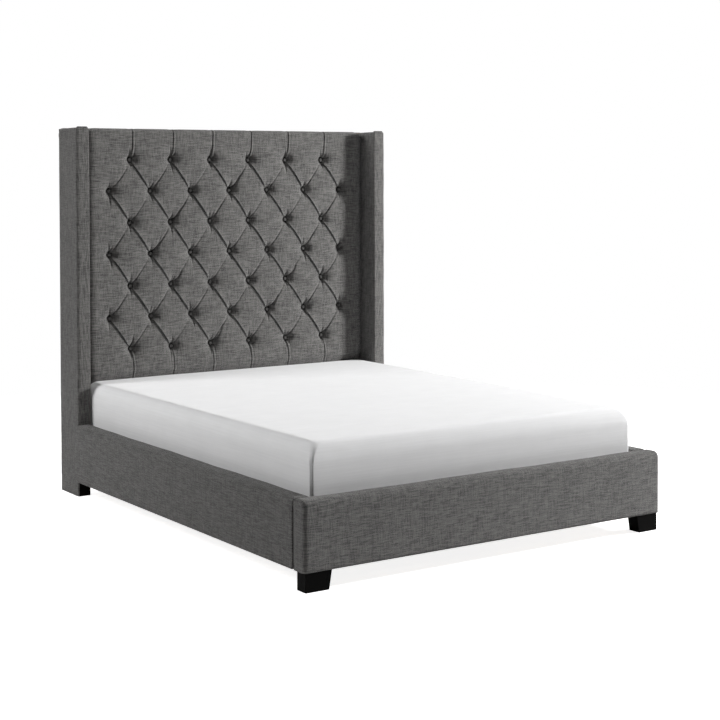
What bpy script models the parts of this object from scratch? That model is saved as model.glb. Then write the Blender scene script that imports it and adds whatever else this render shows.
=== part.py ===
"""A queen bed with a diamond-tufted wing headboard, a low upholstered footboard and a slatted base.

Metres, +Z up. The foot end faces -Y, the headboard's back faces +Y, and the bed is the same on
both sides of X = 0. The floor is Z = 0, and the origin is the middle of the bed's footprint.
"""

import math

import bmesh
import bpy
from mathutils import Matrix, Vector

# Driving dimensions.
GAP = 0.0003  # between two pieces that touch

MATTRESS_WIDTH = 1.524
MATTRESS_LENGTH = 2.030
MATTRESS_HEIGHT = 0.296
MATTRESS_RADIUS = 0.070
SHEET_THICKNESS = 0.003
SIDE_CLEARANCE = 0.0027  # from the sheet to a wing or a side rail
HEAD_CLEARANCE = 0.0017  # from the sheet to the tufted pad
TOE_CLEARANCE = 0.0107  # from the sheet to the footboard

HEADBOARD_HEIGHT = 1.676
WING_DEPTH = 0.205
WING_THICKNESS = 0.064
WING_COVER = 0.005  # the wing's fabric with its thin padding
WING_RADIUS = 0.012
BACK_THICKNESS = 0.0057
FRAME_DEPTH = 0.040  # the headboard's posts and rails, front to back
POST_WIDTH = 0.045
FRAME_RAIL_HEIGHT = 0.060
BOARD_THICKNESS = 0.009

PAD_THICKNESS = 0.0664
PAD_LOWER_THICKNESS = 0.0489  # behind the mattress
PAD_BOTTOM = 0.300
PAD_STEP = 0.030  # the height over which the pad gets thicker, above the mattress
PAD_TOP_FOLD = 0.0157  # where the pad lies over the top of the frame
PAD_TOP_RADIUS = 0.016

BUTTON_ROWS = 7
BUTTON_PITCH = 0.2085
ROW_SPACING = 0.148
TOP_ROW_DROP = 0.1454  # from the top of the headboard to the top row
ROW_END_MARGIN = 0.100  # least space from a row's last button to the wing
BUTTON_RADIUS = 0.0095
BUTTON_DOME = 0.004
BUTTON_THICKNESS = 0.008
BUTTON_HEIGHT = 0.0349  # from the tufting board to the face of a button
SHANK_RADIUS = 0.0022
SHANK_HOLE_RADIUS = 0.0040
POCKET_RADIUS = 0.045
POCKET_FLOOR_RADIUS = 0.011
TWINE_RADIUS = 0.003

WING_BOLT_RADIUS = 0.004
WING_BOLT_LENGTH = 0.090
WING_BOLT_HEAD_RADIUS = 0.008
WING_BOLT_HEAD = 0.005
BOLT_CLEARANCE = 0.0004

FOOT_HEIGHT = 0.072
RAIL_HEIGHT = 0.2545
RAIL_THICKNESS = 0.080
RAIL_BOARD = 0.030
RAIL_TOP_PADDING = 0.018
RAIL_RADIUS = 0.020
RAIL_END_GAP = 0.004  # the seam between a side rail and what it hooks onto
FOOTBOARD_THICKNESS = 0.081
FOOTBOARD_END_PADDING = 0.018

HOOK_PLATE = 0.003
HOOK_PLATE_HEIGHT = 0.150
HOOK_PLATE_MARGIN = 0.002
HOOK_LENGTH = 0.045
HOOK_HEIGHT = 0.022
HOOK_LIP = 0.012
HOOK_LIP_LENGTH = 0.008
HOOK_SPACING = 0.080
HOOK_CLEARANCE = 0.001

FRONT_FOOT_WIDTH = 0.110
FRONT_FOOT_TAPER = 0.012
FRONT_FOOT_DEPTH = 0.060
FRONT_FOOT_INSET = 0.010
FRONT_FOOT_SETBACK = 0.006
HEAD_FOOT_SETBACK = 0.002

MATTRESS_SINK = 0.1165  # from the top of the side rails down to the slats
SLAT_COUNT = 12
SLAT_WIDTH = 0.070
SLAT_THICKNESS = 0.018
SLAT_END_CLEARANCE = 0.003
SLAT_FIRST_MARGIN = 0.030
LEDGER_WIDTH = 0.025
LEDGER_HEIGHT = 0.035
LEDGER_END_CLEARANCE = 0.002

BEAM_WIDTH = 0.040
BEAM_HEIGHT = 0.060
HANGER_WALL = 0.003
HANGER_DEPTH = 0.040
HANGER_HEIGHT = 0.050
BEAM_END_CLEARANCE = 0.001
CENTRE_LEG_COUNT = 2
CENTRE_LEG_SIZE = 0.045
LEVELLER_RADIUS = 0.020
LEVELLER_PAD = 0.008
LEVELLER_STEM_RADIUS = 0.005
LEVELLER_STEM_LENGTH = 0.050
LEVELLER_CLEARANCE = 0.0005
LEVELLER_HOLE_SPARE = 0.004

OVERRUN = 0.002  # how far a cutter runs past the face it cuts
WELD = 0.000001

# Widths, from the middle outwards.
sheet_skin = GAP + SHEET_THICKNESS
inner_half = MATTRESS_WIDTH / 2 + sheet_skin + SIDE_CLEARANCE
wing_outer = inner_half + WING_THICKNESS
rail_outer = inner_half + RAIL_THICKNESS
rail_board_middle = inner_half + RAIL_THICKNESS / 2
panel_half = inner_half - GAP

# Depths, from the back of the headboard to the front of the footboard.
headboard_depth = (
    BACK_THICKNESS + GAP + FRAME_DEPTH + GAP + BOARD_THICKNESS + GAP + PAD_LOWER_THICKNESS
)
mattress_room = HEAD_CLEARANCE + MATTRESS_LENGTH + 2 * sheet_skin + TOE_CLEARANCE
bed_length = headboard_depth + mattress_room + FOOTBOARD_THICKNESS
back = bed_length / 2
frame_back = back - BACK_THICKNESS - GAP
frame_front = frame_back - FRAME_DEPTH
board_back = frame_front - GAP
board_front = board_back - BOARD_THICKNESS
pad_back = board_front - GAP
pad_lower_front = pad_back - PAD_LOWER_THICKNESS
pad_front = pad_back - PAD_THICKNESS
button_face = pad_back - BUTTON_HEIGHT
twine_middle = board_back + GAP + TWINE_RADIUS
mattress_head = pad_lower_front - HEAD_CLEARANCE - sheet_skin
mattress_toe = mattress_head - MATTRESS_LENGTH
footboard_back = mattress_toe - sheet_skin - TOE_CLEARANCE
front = footboard_back - FOOTBOARD_THICKNESS
footboard_middle = front + FOOTBOARD_THICKNESS / 2
wing_front = back - WING_DEPTH

# Heights, from the floor up.
rail_top = FOOT_HEIGHT + RAIL_HEIGHT
rail_board_top = rail_top - RAIL_TOP_PADDING
rail_middle = FOOT_HEIGHT + RAIL_HEIGHT / 2
slat_top = rail_top - MATTRESS_SINK
slat_bottom = slat_top - SLAT_THICKNESS
beam_top = slat_bottom - GAP
beam_bottom = beam_top - BEAM_HEIGHT
mattress_bottom = slat_top + GAP
mattress_top = mattress_bottom + MATTRESS_HEIGHT + sheet_skin
frame_top = HEADBOARD_HEIGHT - PAD_TOP_FOLD - GAP
top_row = HEADBOARD_HEIGHT - TOP_ROW_DROP
top_rail_middle = frame_top - FRAME_RAIL_HEIGHT / 2
middle_rail_middle = top_row - 2.5 * ROW_SPACING
bottom_rail_middle = beam_top - BEAM_HEIGHT / 2

# Looks: colour, roughness, metallic.
LINEN = ((0.17, 0.165, 0.155), 0.95, 0.0)
LINEN_BUTTON = ((0.24, 0.235, 0.225), 0.95, 0.0)
BLACK_WOOD = ((0.01, 0.01, 0.01), 0.45, 0.0)
PINE = ((0.62, 0.44, 0.26), 0.65, 0.0)
PLYWOOD = ((0.55, 0.38, 0.22), 0.70, 0.0)
STEEL = ((0.30, 0.30, 0.31), 0.40, 1.0)
PLASTIC = ((0.02, 0.02, 0.02), 0.50, 0.0)
TICKING = ((0.85, 0.85, 0.84), 0.90, 0.0)
SHEET = ((0.90, 0.90, 0.91), 0.90, 0.0)

SIDES = (("left", -1), ("right", 1))


def start_scene():
    """An empty scene with one collection for the bed and one for what cuts it."""
    for obj in list(bpy.data.objects):
        bpy.data.objects.remove(obj)
    collections = []
    for name in ("tufted_wing_bed", "cutters"):
        collection = bpy.data.collections.new(name)
        bpy.context.scene.collection.children.link(collection)
        collections.append(collection)
    collections[1].hide_render = True
    return collections


bed, cutters = start_scene()


def add_object(name, bm, location, look):
    """The finished mesh as an object of the bed, with a material of its own."""
    mesh = bpy.data.meshes.new(name)
    bmesh.ops.recalc_face_normals(bm, faces=bm.faces)
    bm.to_mesh(mesh)
    bm.free()
    colour, roughness, metallic = look
    material = bpy.data.materials.new(name)
    material.use_nodes = True
    surface = material.node_tree.nodes["Principled BSDF"]
    surface.inputs["Base Color"].default_value = (*colour, 1.0)
    surface.inputs["Roughness"].default_value = roughness
    surface.inputs["Metallic"].default_value = metallic
    mesh.materials.append(material)
    obj = bpy.data.objects.new(name, mesh)
    obj.location = location
    bed.objects.link(obj)
    return obj


def add_tool(name, bm):
    """A helper mesh in world coordinates, which cuts or joins and isn't part of the bed."""
    mesh = bpy.data.meshes.new(name)
    bmesh.ops.recalc_face_normals(bm, faces=bm.faces)
    bm.to_mesh(mesh)
    bm.free()
    obj = bpy.data.objects.new(name, mesh)
    obj.hide_render = True
    obj.display_type = "WIRE"
    cutters.objects.link(obj)
    return obj


def use_tool(target, bm, label, operation="DIFFERENCE"):
    modifier = target.modifiers.new(label, "BOOLEAN")
    modifier.operation = operation
    modifier.solver = "EXACT"
    modifier.object = add_tool(f"{target.name}_{label}", bm)


def span(side, near, far):
    """The X range from near to far on one side of the bed, lower end first."""
    return tuple(sorted((side * near, side * far)))


def box_into(bm, x, y, z):
    """Adds a box between the three (low, high) ranges."""
    size = [high - low for low, high in (x, y, z)]
    middle = [(high + low) / 2 for low, high in (x, y, z)]
    matrix = Matrix.Translation(middle) @ Matrix.Diagonal((*size, 1.0))
    bmesh.ops.create_cube(bm, size=1.0, matrix=matrix)


def boxes(*ranges):
    """A mesh of boxes that don't meet each other."""
    bm = bmesh.new()
    for x, y, z in ranges:
        box_into(bm, x, y, z)
    return bm


def side_of(face):
    """The side of a box that a face is on, such as +x."""
    axis = max(range(3), key=lambda index: abs(face.normal[index]))
    return ("-" if face.normal[axis] < 0 else "+") + "xyz"[axis]


def add_box(name, x, y, z, look, rounded=(), radius=0.0, segments=3):
    """A box with its origin at its middle. rounded lists the edges to round, as pairs of sides."""
    size = [high - low for low, high in (x, y, z)]
    bm = bmesh.new()
    bmesh.ops.create_cube(bm, size=1.0, matrix=Matrix.Diagonal((*size, 1.0)))
    bm.normal_update()
    wanted = {frozenset(pair.split()) for pair in rounded}
    edges = [edge for edge in bm.edges if frozenset(map(side_of, edge.link_faces)) in wanted]
    if edges:
        bmesh.ops.bevel(
            bm, geom=edges, offset=radius, segments=segments, profile=0.5, affect="EDGES"
        )
    middle = [(high + low) / 2 for low, high in (x, y, z)]
    return add_object(name, bm, middle, look)


def rod_into(bm, start, end, radius, sides, end_radius=None):
    """Adds a round rod, or a cone where end_radius is given, between two points."""
    start, end = Vector(start), Vector(end)
    turn = Vector((0, 0, 1)).rotation_difference(end - start).to_matrix().to_4x4()
    bmesh.ops.create_cone(
        bm,
        cap_ends=True,
        segments=sides,
        radius1=radius,
        radius2=radius if end_radius is None else end_radius,
        depth=(end - start).length,
        matrix=Matrix.Translation((start + end) / 2) @ turn,
    )


def turned_into(bm, profile, sides, matrix):
    """Adds a turned solid. The profile is (radius, height) pairs from axis to axis, around local Z."""
    others = set(bm.verts)
    outline = [bm.verts.new((radius, 0, height)) for radius, height in profile]
    edges = [bm.edges.new(pair) for pair in zip(outline, outline[1:])]
    bmesh.ops.spin(
        bm,
        geom=outline + edges,
        cent=(0, 0, 0),
        axis=(0, 0, 1),
        angle=math.tau,
        steps=sides,
        use_merge=True,
    )
    turned = [vert for vert in bm.verts if vert not in others]
    bmesh.ops.remove_doubles(bm, verts=turned, dist=WELD)
    turned = [vert for vert in bm.verts if vert not in others]
    bmesh.ops.transform(bm, matrix=matrix, verts=turned)


def smooth(obj):
    for face in obj.data.polygons:
        face.use_smooth = True


# Headboard.


def button_places(row):
    """The X of each button in a row. Every second row sits half a pitch over, with one more button."""
    room = 2 * (inner_half - ROW_END_MARGIN)
    longest = int(room / BUTTON_PITCH) + 1
    count = longest if row % 2 else longest - 1
    return [(index - (count - 1) / 2) * BUTTON_PITCH for index in range(count)]


def row_height(row):
    return top_row - row * ROW_SPACING


def bolt_heights():
    """One wing bolt between each two rails of the headboard's frame."""
    return (
        (top_rail_middle + middle_rail_middle) / 2,
        (middle_rail_middle + bottom_rail_middle) / 2,
    )


def add_headboard_frame():
    post_inner = panel_half - POST_WIDTH
    depth = (frame_front, frame_back)
    bolt_y = (frame_front + frame_back) / 2
    for side_name, side in SIDES:
        post = add_box(
            f"headboard_post_{side_name}",
            span(side, post_inner, panel_half),
            depth,
            (FOOT_HEIGHT, frame_top),
            PINE,
        )
        holes = bmesh.new()
        for height in bolt_heights():
            rod_into(
                holes,
                (side * (post_inner - OVERRUN), bolt_y, height),
                (side * (panel_half + OVERRUN), bolt_y, height),
                WING_BOLT_RADIUS + BOLT_CLEARANCE,
                12,
            )
        use_tool(post, holes, "bolt_holes")
    for place, middle in (
        ("top", top_rail_middle),
        ("middle", middle_rail_middle),
        ("bottom", bottom_rail_middle),
    ):
        add_box(
            f"headboard_{place}_rail",
            (GAP - post_inner, post_inner - GAP),
            depth,
            (middle - FRAME_RAIL_HEIGHT / 2, middle + FRAME_RAIL_HEIGHT / 2),
            PINE,
        )


def add_tufting():
    """The board that the buttons are tied through, the pad with its pockets, and the rows of buttons."""
    board = add_box(
        "tufting_board",
        (-panel_half, panel_half),
        (board_front, board_back),
        (FOOT_HEIGHT, frame_top),
        PLYWOOD,
    )
    pad = add_object("tufted_pad", pad_mesh(), (0, 0, 0), LINEN)
    holes = bmesh.new()
    pockets = bmesh.new()
    for row in range(BUTTON_ROWS):
        height = row_height(row)
        for x in button_places(row):
            rod_into(
                holes,
                (x, board_front - OVERRUN, height),
                (x, board_back + OVERRUN, height),
                SHANK_HOLE_RADIUS,
                6,
            )
            rod_into(
                pockets,
                (x, pad_front - OVERRUN, height),
                (x, pad_back + OVERRUN, height),
                POCKET_RADIUS,
                10,
                end_radius=POCKET_FLOOR_RADIUS,
            )
        add_button_row(row)
    use_tool(board, holes, "shank_holes")
    use_tool(pad, pockets, "pockets")


def pad_mesh():
    """The pad's side outline drawn across the bed: thinner behind the mattress, folded over the top."""
    step_bottom = mattress_top + GAP
    outline = [
        (pad_back, PAD_BOTTOM),
        (pad_lower_front, PAD_BOTTOM),
        (pad_lower_front, step_bottom),
        (pad_front, step_bottom + PAD_STEP),
        (pad_front, HEADBOARD_HEIGHT - PAD_TOP_RADIUS),
        (pad_front + PAD_TOP_RADIUS, HEADBOARD_HEIGHT),
        (frame_back, HEADBOARD_HEIGHT),
        (frame_back, frame_top + GAP),
        (pad_back, frame_top + GAP),
    ]
    bm = bmesh.new()
    face = bm.faces.new([bm.verts.new((-panel_half, y, z)) for y, z in outline])
    sweep = bmesh.ops.extrude_face_region(bm, geom=[face], use_keep_orig=True)
    across = [item for item in sweep["geom"] if isinstance(item, bmesh.types.BMVert)]
    bmesh.ops.translate(bm, vec=(2 * panel_half, 0, 0), verts=across)
    return bm


def add_button_row(row):
    """One row of covered buttons, whose shanks are tied to a twine behind the board."""
    height = row_height(row)
    places = button_places(row)
    twine = bmesh.new()
    end = places[-1] + 2 * TWINE_RADIUS
    rod_into(twine, (-end, twine_middle, height), (end, twine_middle, height), TWINE_RADIUS, 8)
    obj = add_object(f"button_row_{row + 1}", twine, (0, 0, 0), LINEN_BUTTON)
    profile = [
        (0, 0),
        (BUTTON_RADIUS * 0.62, BUTTON_DOME * 0.25),
        (BUTTON_RADIUS, BUTTON_DOME),
        (SHANK_RADIUS, BUTTON_THICKNESS),
        (SHANK_RADIUS, twine_middle - button_face),
        (0, twine_middle - button_face),
    ]
    buttons = bmesh.new()
    backwards = Matrix.Rotation(-math.pi / 2, 4, "X")
    for x in places:
        turned_into(buttons, profile, 8, Matrix.Translation((x, button_face, height)) @ backwards)
    use_tool(obj, buttons, "buttons", "UNION")
    smooth(obj)


def add_wings():
    for side_name, side in SIDES:
        add_wing_core(side_name, side)
        add_wing_cover(side_name, side)
        add_wing_bolts(side_name, side)
        add_box(
            f"headboard_foot_{side_name}",
            span(side, inner_half + WING_COVER + GAP, wing_outer - WING_COVER - GAP),
            (wing_front + HEAD_FOOT_SETBACK, frame_back),
            (0, FOOT_HEIGHT - GAP),
            BLACK_WOOD,
        )


def add_wing_core(side_name, side):
    core = add_box(
        f"wing_core_{side_name}",
        span(side, inner_half + WING_COVER + GAP, wing_outer - WING_COVER - GAP),
        (wing_front + WING_COVER + GAP, frame_back),
        (FOOT_HEIGHT, HEADBOARD_HEIGHT - WING_COVER - GAP),
        PINE,
    )
    use_tool(core, hook_slots(side, wing_front, 1), "hook_slots")
    use_tool(core, wing_bolt_holes(side), "bolt_holes")


def add_wing_cover(side_name, side):
    """Fabric around the front, top and both faces of a wing, down to the floor on the outside."""
    out = "+x" if side > 0 else "-x"
    cover = add_box(
        f"wing_cover_{side_name}",
        span(side, inner_half, wing_outer),
        (wing_front, frame_back),
        (GAP, HEADBOARD_HEIGHT),
        LINEN,
        rounded=(f"{out} -y", f"{out} +z", "-y +z"),
        radius=WING_RADIUS,
    )
    core_x = span(side, inner_half + WING_COVER, wing_outer - WING_COVER)
    core_top = HEADBOARD_HEIGHT - WING_COVER
    behind = frame_back + OVERRUN
    below = -OVERRUN
    hollow = boxes((core_x, (wing_front + WING_COVER, behind), (below, core_top)))
    use_tool(cover, hollow, "hollow")
    over_foot = boxes(
        (
            span(side, inner_half - OVERRUN, wing_outer - WING_COVER),
            (wing_front - OVERRUN, behind),
            (below, FOOT_HEIGHT),
        )
    )
    use_tool(cover, over_foot, "over_foot")
    use_tool(cover, hook_slots(side, wing_front, 1), "hook_slots")
    use_tool(cover, wing_bolt_holes(side), "bolt_holes")


def wing_bolt_reach():
    """The X of a wing bolt's tip. Its head bears on the inside of the post."""
    return panel_half - POST_WIDTH - GAP + WING_BOLT_LENGTH


def wing_bolt_holes(side):
    bolt_y = (frame_front + frame_back) / 2
    holes = bmesh.new()
    for height in bolt_heights():
        rod_into(
            holes,
            (side * (inner_half - OVERRUN), bolt_y, height),
            (side * (wing_bolt_reach() + OVERRUN), bolt_y, height),
            WING_BOLT_RADIUS + BOLT_CLEARANCE,
            12,
        )
    return holes


def add_wing_bolts(side_name, side):
    bolt_y = (frame_front + frame_back) / 2
    outwards = Matrix.Rotation(side * math.pi / 2, 4, "Y")
    profile = [
        (0, -WING_BOLT_HEAD),
        (WING_BOLT_HEAD_RADIUS, -WING_BOLT_HEAD),
        (WING_BOLT_HEAD_RADIUS, 0),
        (WING_BOLT_RADIUS, 0),
        (WING_BOLT_RADIUS, WING_BOLT_LENGTH),
        (0, WING_BOLT_LENGTH),
    ]
    head_face = side * (panel_half - POST_WIDTH - GAP)
    for place, height in zip(("upper", "lower"), bolt_heights()):
        bm = bmesh.new()
        turned_into(bm, profile, 12, outwards)
        add_object(f"wing_bolt_{place}_{side_name}", bm, (head_face, bolt_y, height), STEEL)


def add_back_panel():
    add_box(
        "back_panel",
        (-wing_outer, wing_outer),
        (back - BACK_THICKNESS, back),
        (FOOT_HEIGHT, HEADBOARD_HEIGHT),
        LINEN,
    )


# Side rails and footboard.


def hook_slots(side, face, direction):
    """Two upright slots for the hooks of a side rail. direction is the way the hooks go in along Y."""
    x = span(
        side,
        rail_board_middle - HOOK_PLATE / 2 - HOOK_CLEARANCE,
        rail_board_middle + HOOK_PLATE / 2 + HOOK_CLEARANCE,
    )
    deep = HOOK_LENGTH + HOOK_CLEARANCE
    y = tuple(sorted((face - direction * OVERRUN, face + direction * deep)))
    ranges = []
    for middle in hook_heights():
        low = middle - HOOK_HEIGHT / 2 - HOOK_LIP - HOOK_CLEARANCE
        high = middle + HOOK_HEIGHT / 2 + HOOK_CLEARANCE
        ranges.append((x, y, (low, high)))
    return boxes(*ranges)


def hook_heights():
    return (rail_middle - HOOK_SPACING / 2, rail_middle + HOOK_SPACING / 2)


def add_hook_plate(name, side, face, direction):
    """The steel plate on the end of a side rail's board, with two hooks that drop into slots."""
    plate_y = (face - direction * GAP, face - direction * (GAP + HOOK_PLATE))
    half_width = RAIL_BOARD / 2 - HOOK_PLATE_MARGIN
    plate = add_box(
        name,
        span(side, rail_board_middle - half_width, rail_board_middle + half_width),
        tuple(sorted(plate_y)),
        (rail_middle - HOOK_PLATE_HEIGHT / 2, rail_middle + HOOK_PLATE_HEIGHT / 2),
        STEEL,
    )
    hook_x = span(
        side, rail_board_middle - HOOK_PLATE / 2, rail_board_middle + HOOK_PLATE / 2
    )
    root = face - direction * (GAP + HOOK_PLATE / 2)
    tip = face + direction * HOOK_LENGTH
    arm_y = tuple(sorted((root, tip)))
    lip_y = tuple(sorted((tip - direction * HOOK_LIP_LENGTH, tip)))
    arms = []
    lips = []
    for middle in hook_heights():
        low, high = middle - HOOK_HEIGHT / 2, middle + HOOK_HEIGHT / 2
        arms.append((hook_x, arm_y, (low, high)))
        lips.append((hook_x, lip_y, (low - HOOK_LIP, low + HOOK_LIP_LENGTH)))
    use_tool(plate, boxes(*arms), "hooks", "UNION")
    use_tool(plate, boxes(*lips), "lips", "UNION")


def add_side_rails():
    for side_name, side in SIDES:
        out = "+x" if side > 0 else "-x"
        inward = "-x" if side > 0 else "+x"
        board_x = span(
            side, rail_board_middle - RAIL_BOARD / 2, rail_board_middle + RAIL_BOARD / 2
        )
        cover_y = (footboard_back + RAIL_END_GAP, wing_front - RAIL_END_GAP)
        plate_room = 2 * GAP + HOOK_PLATE
        board_y = (footboard_back + plate_room, wing_front - plate_room)
        add_box(
            f"side_rail_board_{side_name}",
            board_x,
            board_y,
            (FOOT_HEIGHT, rail_board_top),
            PINE,
        )
        cover = add_box(
            f"side_rail_cover_{side_name}",
            span(side, inner_half, rail_outer),
            cover_y,
            (FOOT_HEIGHT, rail_top),
            LINEN,
            rounded=(f"{out} +z", f"{inward} +z"),
            radius=RAIL_RADIUS,
        )
        slot = boxes(
            (
                (board_x[0] - GAP, board_x[1] + GAP),
                (cover_y[0] - OVERRUN, cover_y[1] + OVERRUN),
                (FOOT_HEIGHT - OVERRUN, rail_board_top + GAP),
            )
        )
        use_tool(cover, slot, "board_slot")
        add_box(
            f"slat_ledger_{side_name}",
            span(side, inner_half - GAP - LEDGER_WIDTH, inner_half - GAP),
            (footboard_back + LEDGER_END_CLEARANCE, board_front - LEDGER_END_CLEARANCE),
            (beam_top - LEDGER_HEIGHT, beam_top),
            PINE,
        )
        add_hook_plate(f"hook_plate_head_{side_name}", side, wing_front, 1)
        add_hook_plate(f"hook_plate_toe_{side_name}", side, footboard_back, -1)


def add_footboard():
    board_half = rail_outer - FOOTBOARD_END_PADDING
    board_y = (footboard_middle - RAIL_BOARD / 2, footboard_middle + RAIL_BOARD / 2)
    board = add_box(
        "footboard_board",
        (-board_half, board_half),
        board_y,
        (FOOT_HEIGHT, rail_board_top),
        PINE,
    )
    cover = add_box(
        "footboard_cover",
        (-rail_outer, rail_outer),
        (front, footboard_back),
        (FOOT_HEIGHT, rail_top),
        LINEN,
        rounded=("+x +z", "-x +z", "-y +z", "+y +z", "-x -y", "+x -y"),
        radius=RAIL_RADIUS,
    )
    slot = boxes(
        (
            (-board_half - GAP, board_half + GAP),
            (board_y[0] - GAP, board_y[1] + GAP),
            (FOOT_HEIGHT - OVERRUN, rail_board_top + GAP),
        )
    )
    use_tool(cover, slot, "board_slot")
    for side_name, side in SIDES:
        use_tool(board, hook_slots(side, footboard_back, -1), f"hook_slots_{side_name}")
        use_tool(cover, hook_slots(side, footboard_back, -1), f"hook_slots_{side_name}")
        add_front_foot(side_name, side)


def add_front_foot(side_name, side):
    """A block foot under an end of the footboard. Only its side towards the middle slopes."""
    foot_outer = rail_outer - FRONT_FOOT_INSET
    foot_front = front + FRONT_FOOT_SETBACK
    foot = add_box(
        f"front_foot_{side_name}",
        span(side, foot_outer - FRONT_FOOT_WIDTH, foot_outer),
        (foot_front, foot_front + FRONT_FOOT_DEPTH),
        (0, FOOT_HEIGHT - GAP),
        BLACK_WOOD,
    )
    for vert in foot.data.vertices:
        if vert.co.z < 0 and side * vert.co.x < 0:
            vert.co.x += side * FRONT_FOOT_TAPER


# Slatted base.


def add_slats():
    first = footboard_back + SLAT_FIRST_MARGIN + SLAT_WIDTH / 2
    last = pad_lower_front - SLAT_FIRST_MARGIN - SLAT_WIDTH / 2
    half_length = inner_half - SLAT_END_CLEARANCE
    for index in range(SLAT_COUNT):
        middle = first + (last - first) * index / (SLAT_COUNT - 1)
        add_box(
            f"slat_{index + 1:02d}",
            (-half_length, half_length),
            (middle - SLAT_WIDTH / 2, middle + SLAT_WIDTH / 2),
            (slat_bottom, slat_top),
            PINE,
        )


def add_beam():
    """The centre beam, in a steel hanger at each end, on legs with levelling feet."""
    ends = (footboard_back + GAP, board_front - GAP)
    wall = HANGER_WALL + BEAM_END_CLEARANCE
    add_box(
        "centre_beam",
        (-BEAM_WIDTH / 2, BEAM_WIDTH / 2),
        (ends[0] + wall, ends[1] - wall),
        (beam_bottom, beam_top),
        PINE,
    )
    for name, face, direction in (("toe", ends[0], 1), ("head", ends[1], -1)):
        add_hanger(f"beam_hanger_{name}", face, direction)
    step = (ends[1] - ends[0]) / (CENTRE_LEG_COUNT + 1)
    for index in range(CENTRE_LEG_COUNT):
        add_centre_leg(index + 1, ends[0] + step * (index + 1))


def add_hanger(name, face, direction):
    half_width = BEAM_WIDTH / 2 + GAP
    floor = beam_bottom - GAP
    reach = face + direction * HANGER_DEPTH
    hanger = add_box(
        name,
        (-half_width - HANGER_WALL, half_width + HANGER_WALL),
        tuple(sorted((face, reach))),
        (floor - HANGER_WALL, floor - HANGER_WALL + HANGER_HEIGHT),
        STEEL,
    )
    seat_y = (face + direction * HANGER_WALL, reach + direction * OVERRUN)
    seat = boxes(
        (
            (-half_width, half_width),
            tuple(sorted(seat_y)),
            (floor, floor + HANGER_HEIGHT),
        )
    )
    use_tool(hanger, seat, "beam_seat")


def add_centre_leg(number, y):
    half_size = CENTRE_LEG_SIZE / 2
    leg = add_box(
        f"centre_leg_{number}",
        (-half_size, half_size),
        (y - half_size, y + half_size),
        (LEVELLER_PAD + GAP, beam_bottom - GAP),
        PINE,
    )
    hole = bmesh.new()
    rod_into(
        hole,
        (0, y, LEVELLER_PAD - OVERRUN),
        (0, y, LEVELLER_PAD + LEVELLER_STEM_LENGTH + LEVELLER_HOLE_SPARE),
        LEVELLER_STEM_RADIUS + LEVELLER_CLEARANCE,
        16,
    )
    use_tool(leg, hole, "stem_hole")
    profile = [
        (0, 0),
        (LEVELLER_RADIUS, 0),
        (LEVELLER_RADIUS, LEVELLER_PAD),
        (LEVELLER_STEM_RADIUS, LEVELLER_PAD),
        (LEVELLER_STEM_RADIUS, LEVELLER_PAD + LEVELLER_STEM_LENGTH),
        (0, LEVELLER_PAD + LEVELLER_STEM_LENGTH),
    ]
    bm = bmesh.new()
    turned_into(bm, profile, 16, Matrix.Identity(4))
    add_object(f"leveller_{number}", bm, (0, y, 0), PLASTIC)


# Mattress.


def mattress_mesh(extra):
    """A block with all its edges rounded, larger than the mattress by extra on every side."""
    bm = bmesh.new()
    size = [side + 2 * extra for side in (MATTRESS_WIDTH, MATTRESS_LENGTH, MATTRESS_HEIGHT)]
    bmesh.ops.create_cube(bm, size=1.0, matrix=Matrix.Diagonal((*size, 1.0)))
    bmesh.ops.bevel(
        bm,
        geom=bm.edges[:],
        offset=MATTRESS_RADIUS + extra,
        segments=4,
        profile=0.5,
        affect="EDGES",
    )
    return bm


def add_mattress():
    """The mattress, and the fitted sheet over its top and sides, open underneath."""
    middle = (
        0,
        (mattress_head + mattress_toe) / 2,
        mattress_bottom + MATTRESS_HEIGHT / 2,
    )
    mattress = add_object("mattress", mattress_mesh(0), middle, TICKING)
    smooth(mattress)
    bm = mattress_mesh(GAP)
    bm.normal_update()
    under = [face for face in bm.faces if face.normal.z < -0.5]
    bmesh.ops.delete(bm, geom=under, context="FACES")
    sheet = add_object("fitted_sheet", bm, middle, SHEET)
    shell = sheet.modifiers.new("shell", "SOLIDIFY")
    shell.thickness = SHEET_THICKNESS
    shell.offset = 1.0
    shell.use_even_offset = True
    smooth(sheet)


add_headboard_frame()
add_tufting()
add_wings()
add_back_panel()
add_side_rails()
add_footboard()
add_slats()
add_beam()
add_mattress()
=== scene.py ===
"""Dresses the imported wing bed: tufted cloth, padded covers, bedding, wood, steel, light and camera."""

import collections
import math
import random

import bpy
import numpy as np
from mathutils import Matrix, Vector, geometry, noise


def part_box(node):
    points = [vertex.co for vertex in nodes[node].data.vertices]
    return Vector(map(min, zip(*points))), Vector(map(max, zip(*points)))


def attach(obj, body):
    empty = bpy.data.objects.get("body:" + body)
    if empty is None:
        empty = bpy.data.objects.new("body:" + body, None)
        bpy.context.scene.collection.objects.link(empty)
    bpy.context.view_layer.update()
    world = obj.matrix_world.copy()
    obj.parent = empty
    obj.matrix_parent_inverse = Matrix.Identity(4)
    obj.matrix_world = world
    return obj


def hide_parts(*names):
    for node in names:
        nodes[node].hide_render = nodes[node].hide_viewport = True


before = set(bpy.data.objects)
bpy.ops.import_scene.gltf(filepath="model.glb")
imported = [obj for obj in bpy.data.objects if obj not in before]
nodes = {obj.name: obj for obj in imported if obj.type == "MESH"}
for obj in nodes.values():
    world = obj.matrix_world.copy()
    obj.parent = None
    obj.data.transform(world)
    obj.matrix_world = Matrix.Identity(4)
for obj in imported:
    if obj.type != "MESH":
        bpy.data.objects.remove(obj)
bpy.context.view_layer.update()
BODY = "bed_frame"
SIDES = (("left", -1), ("right", 1))

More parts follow.
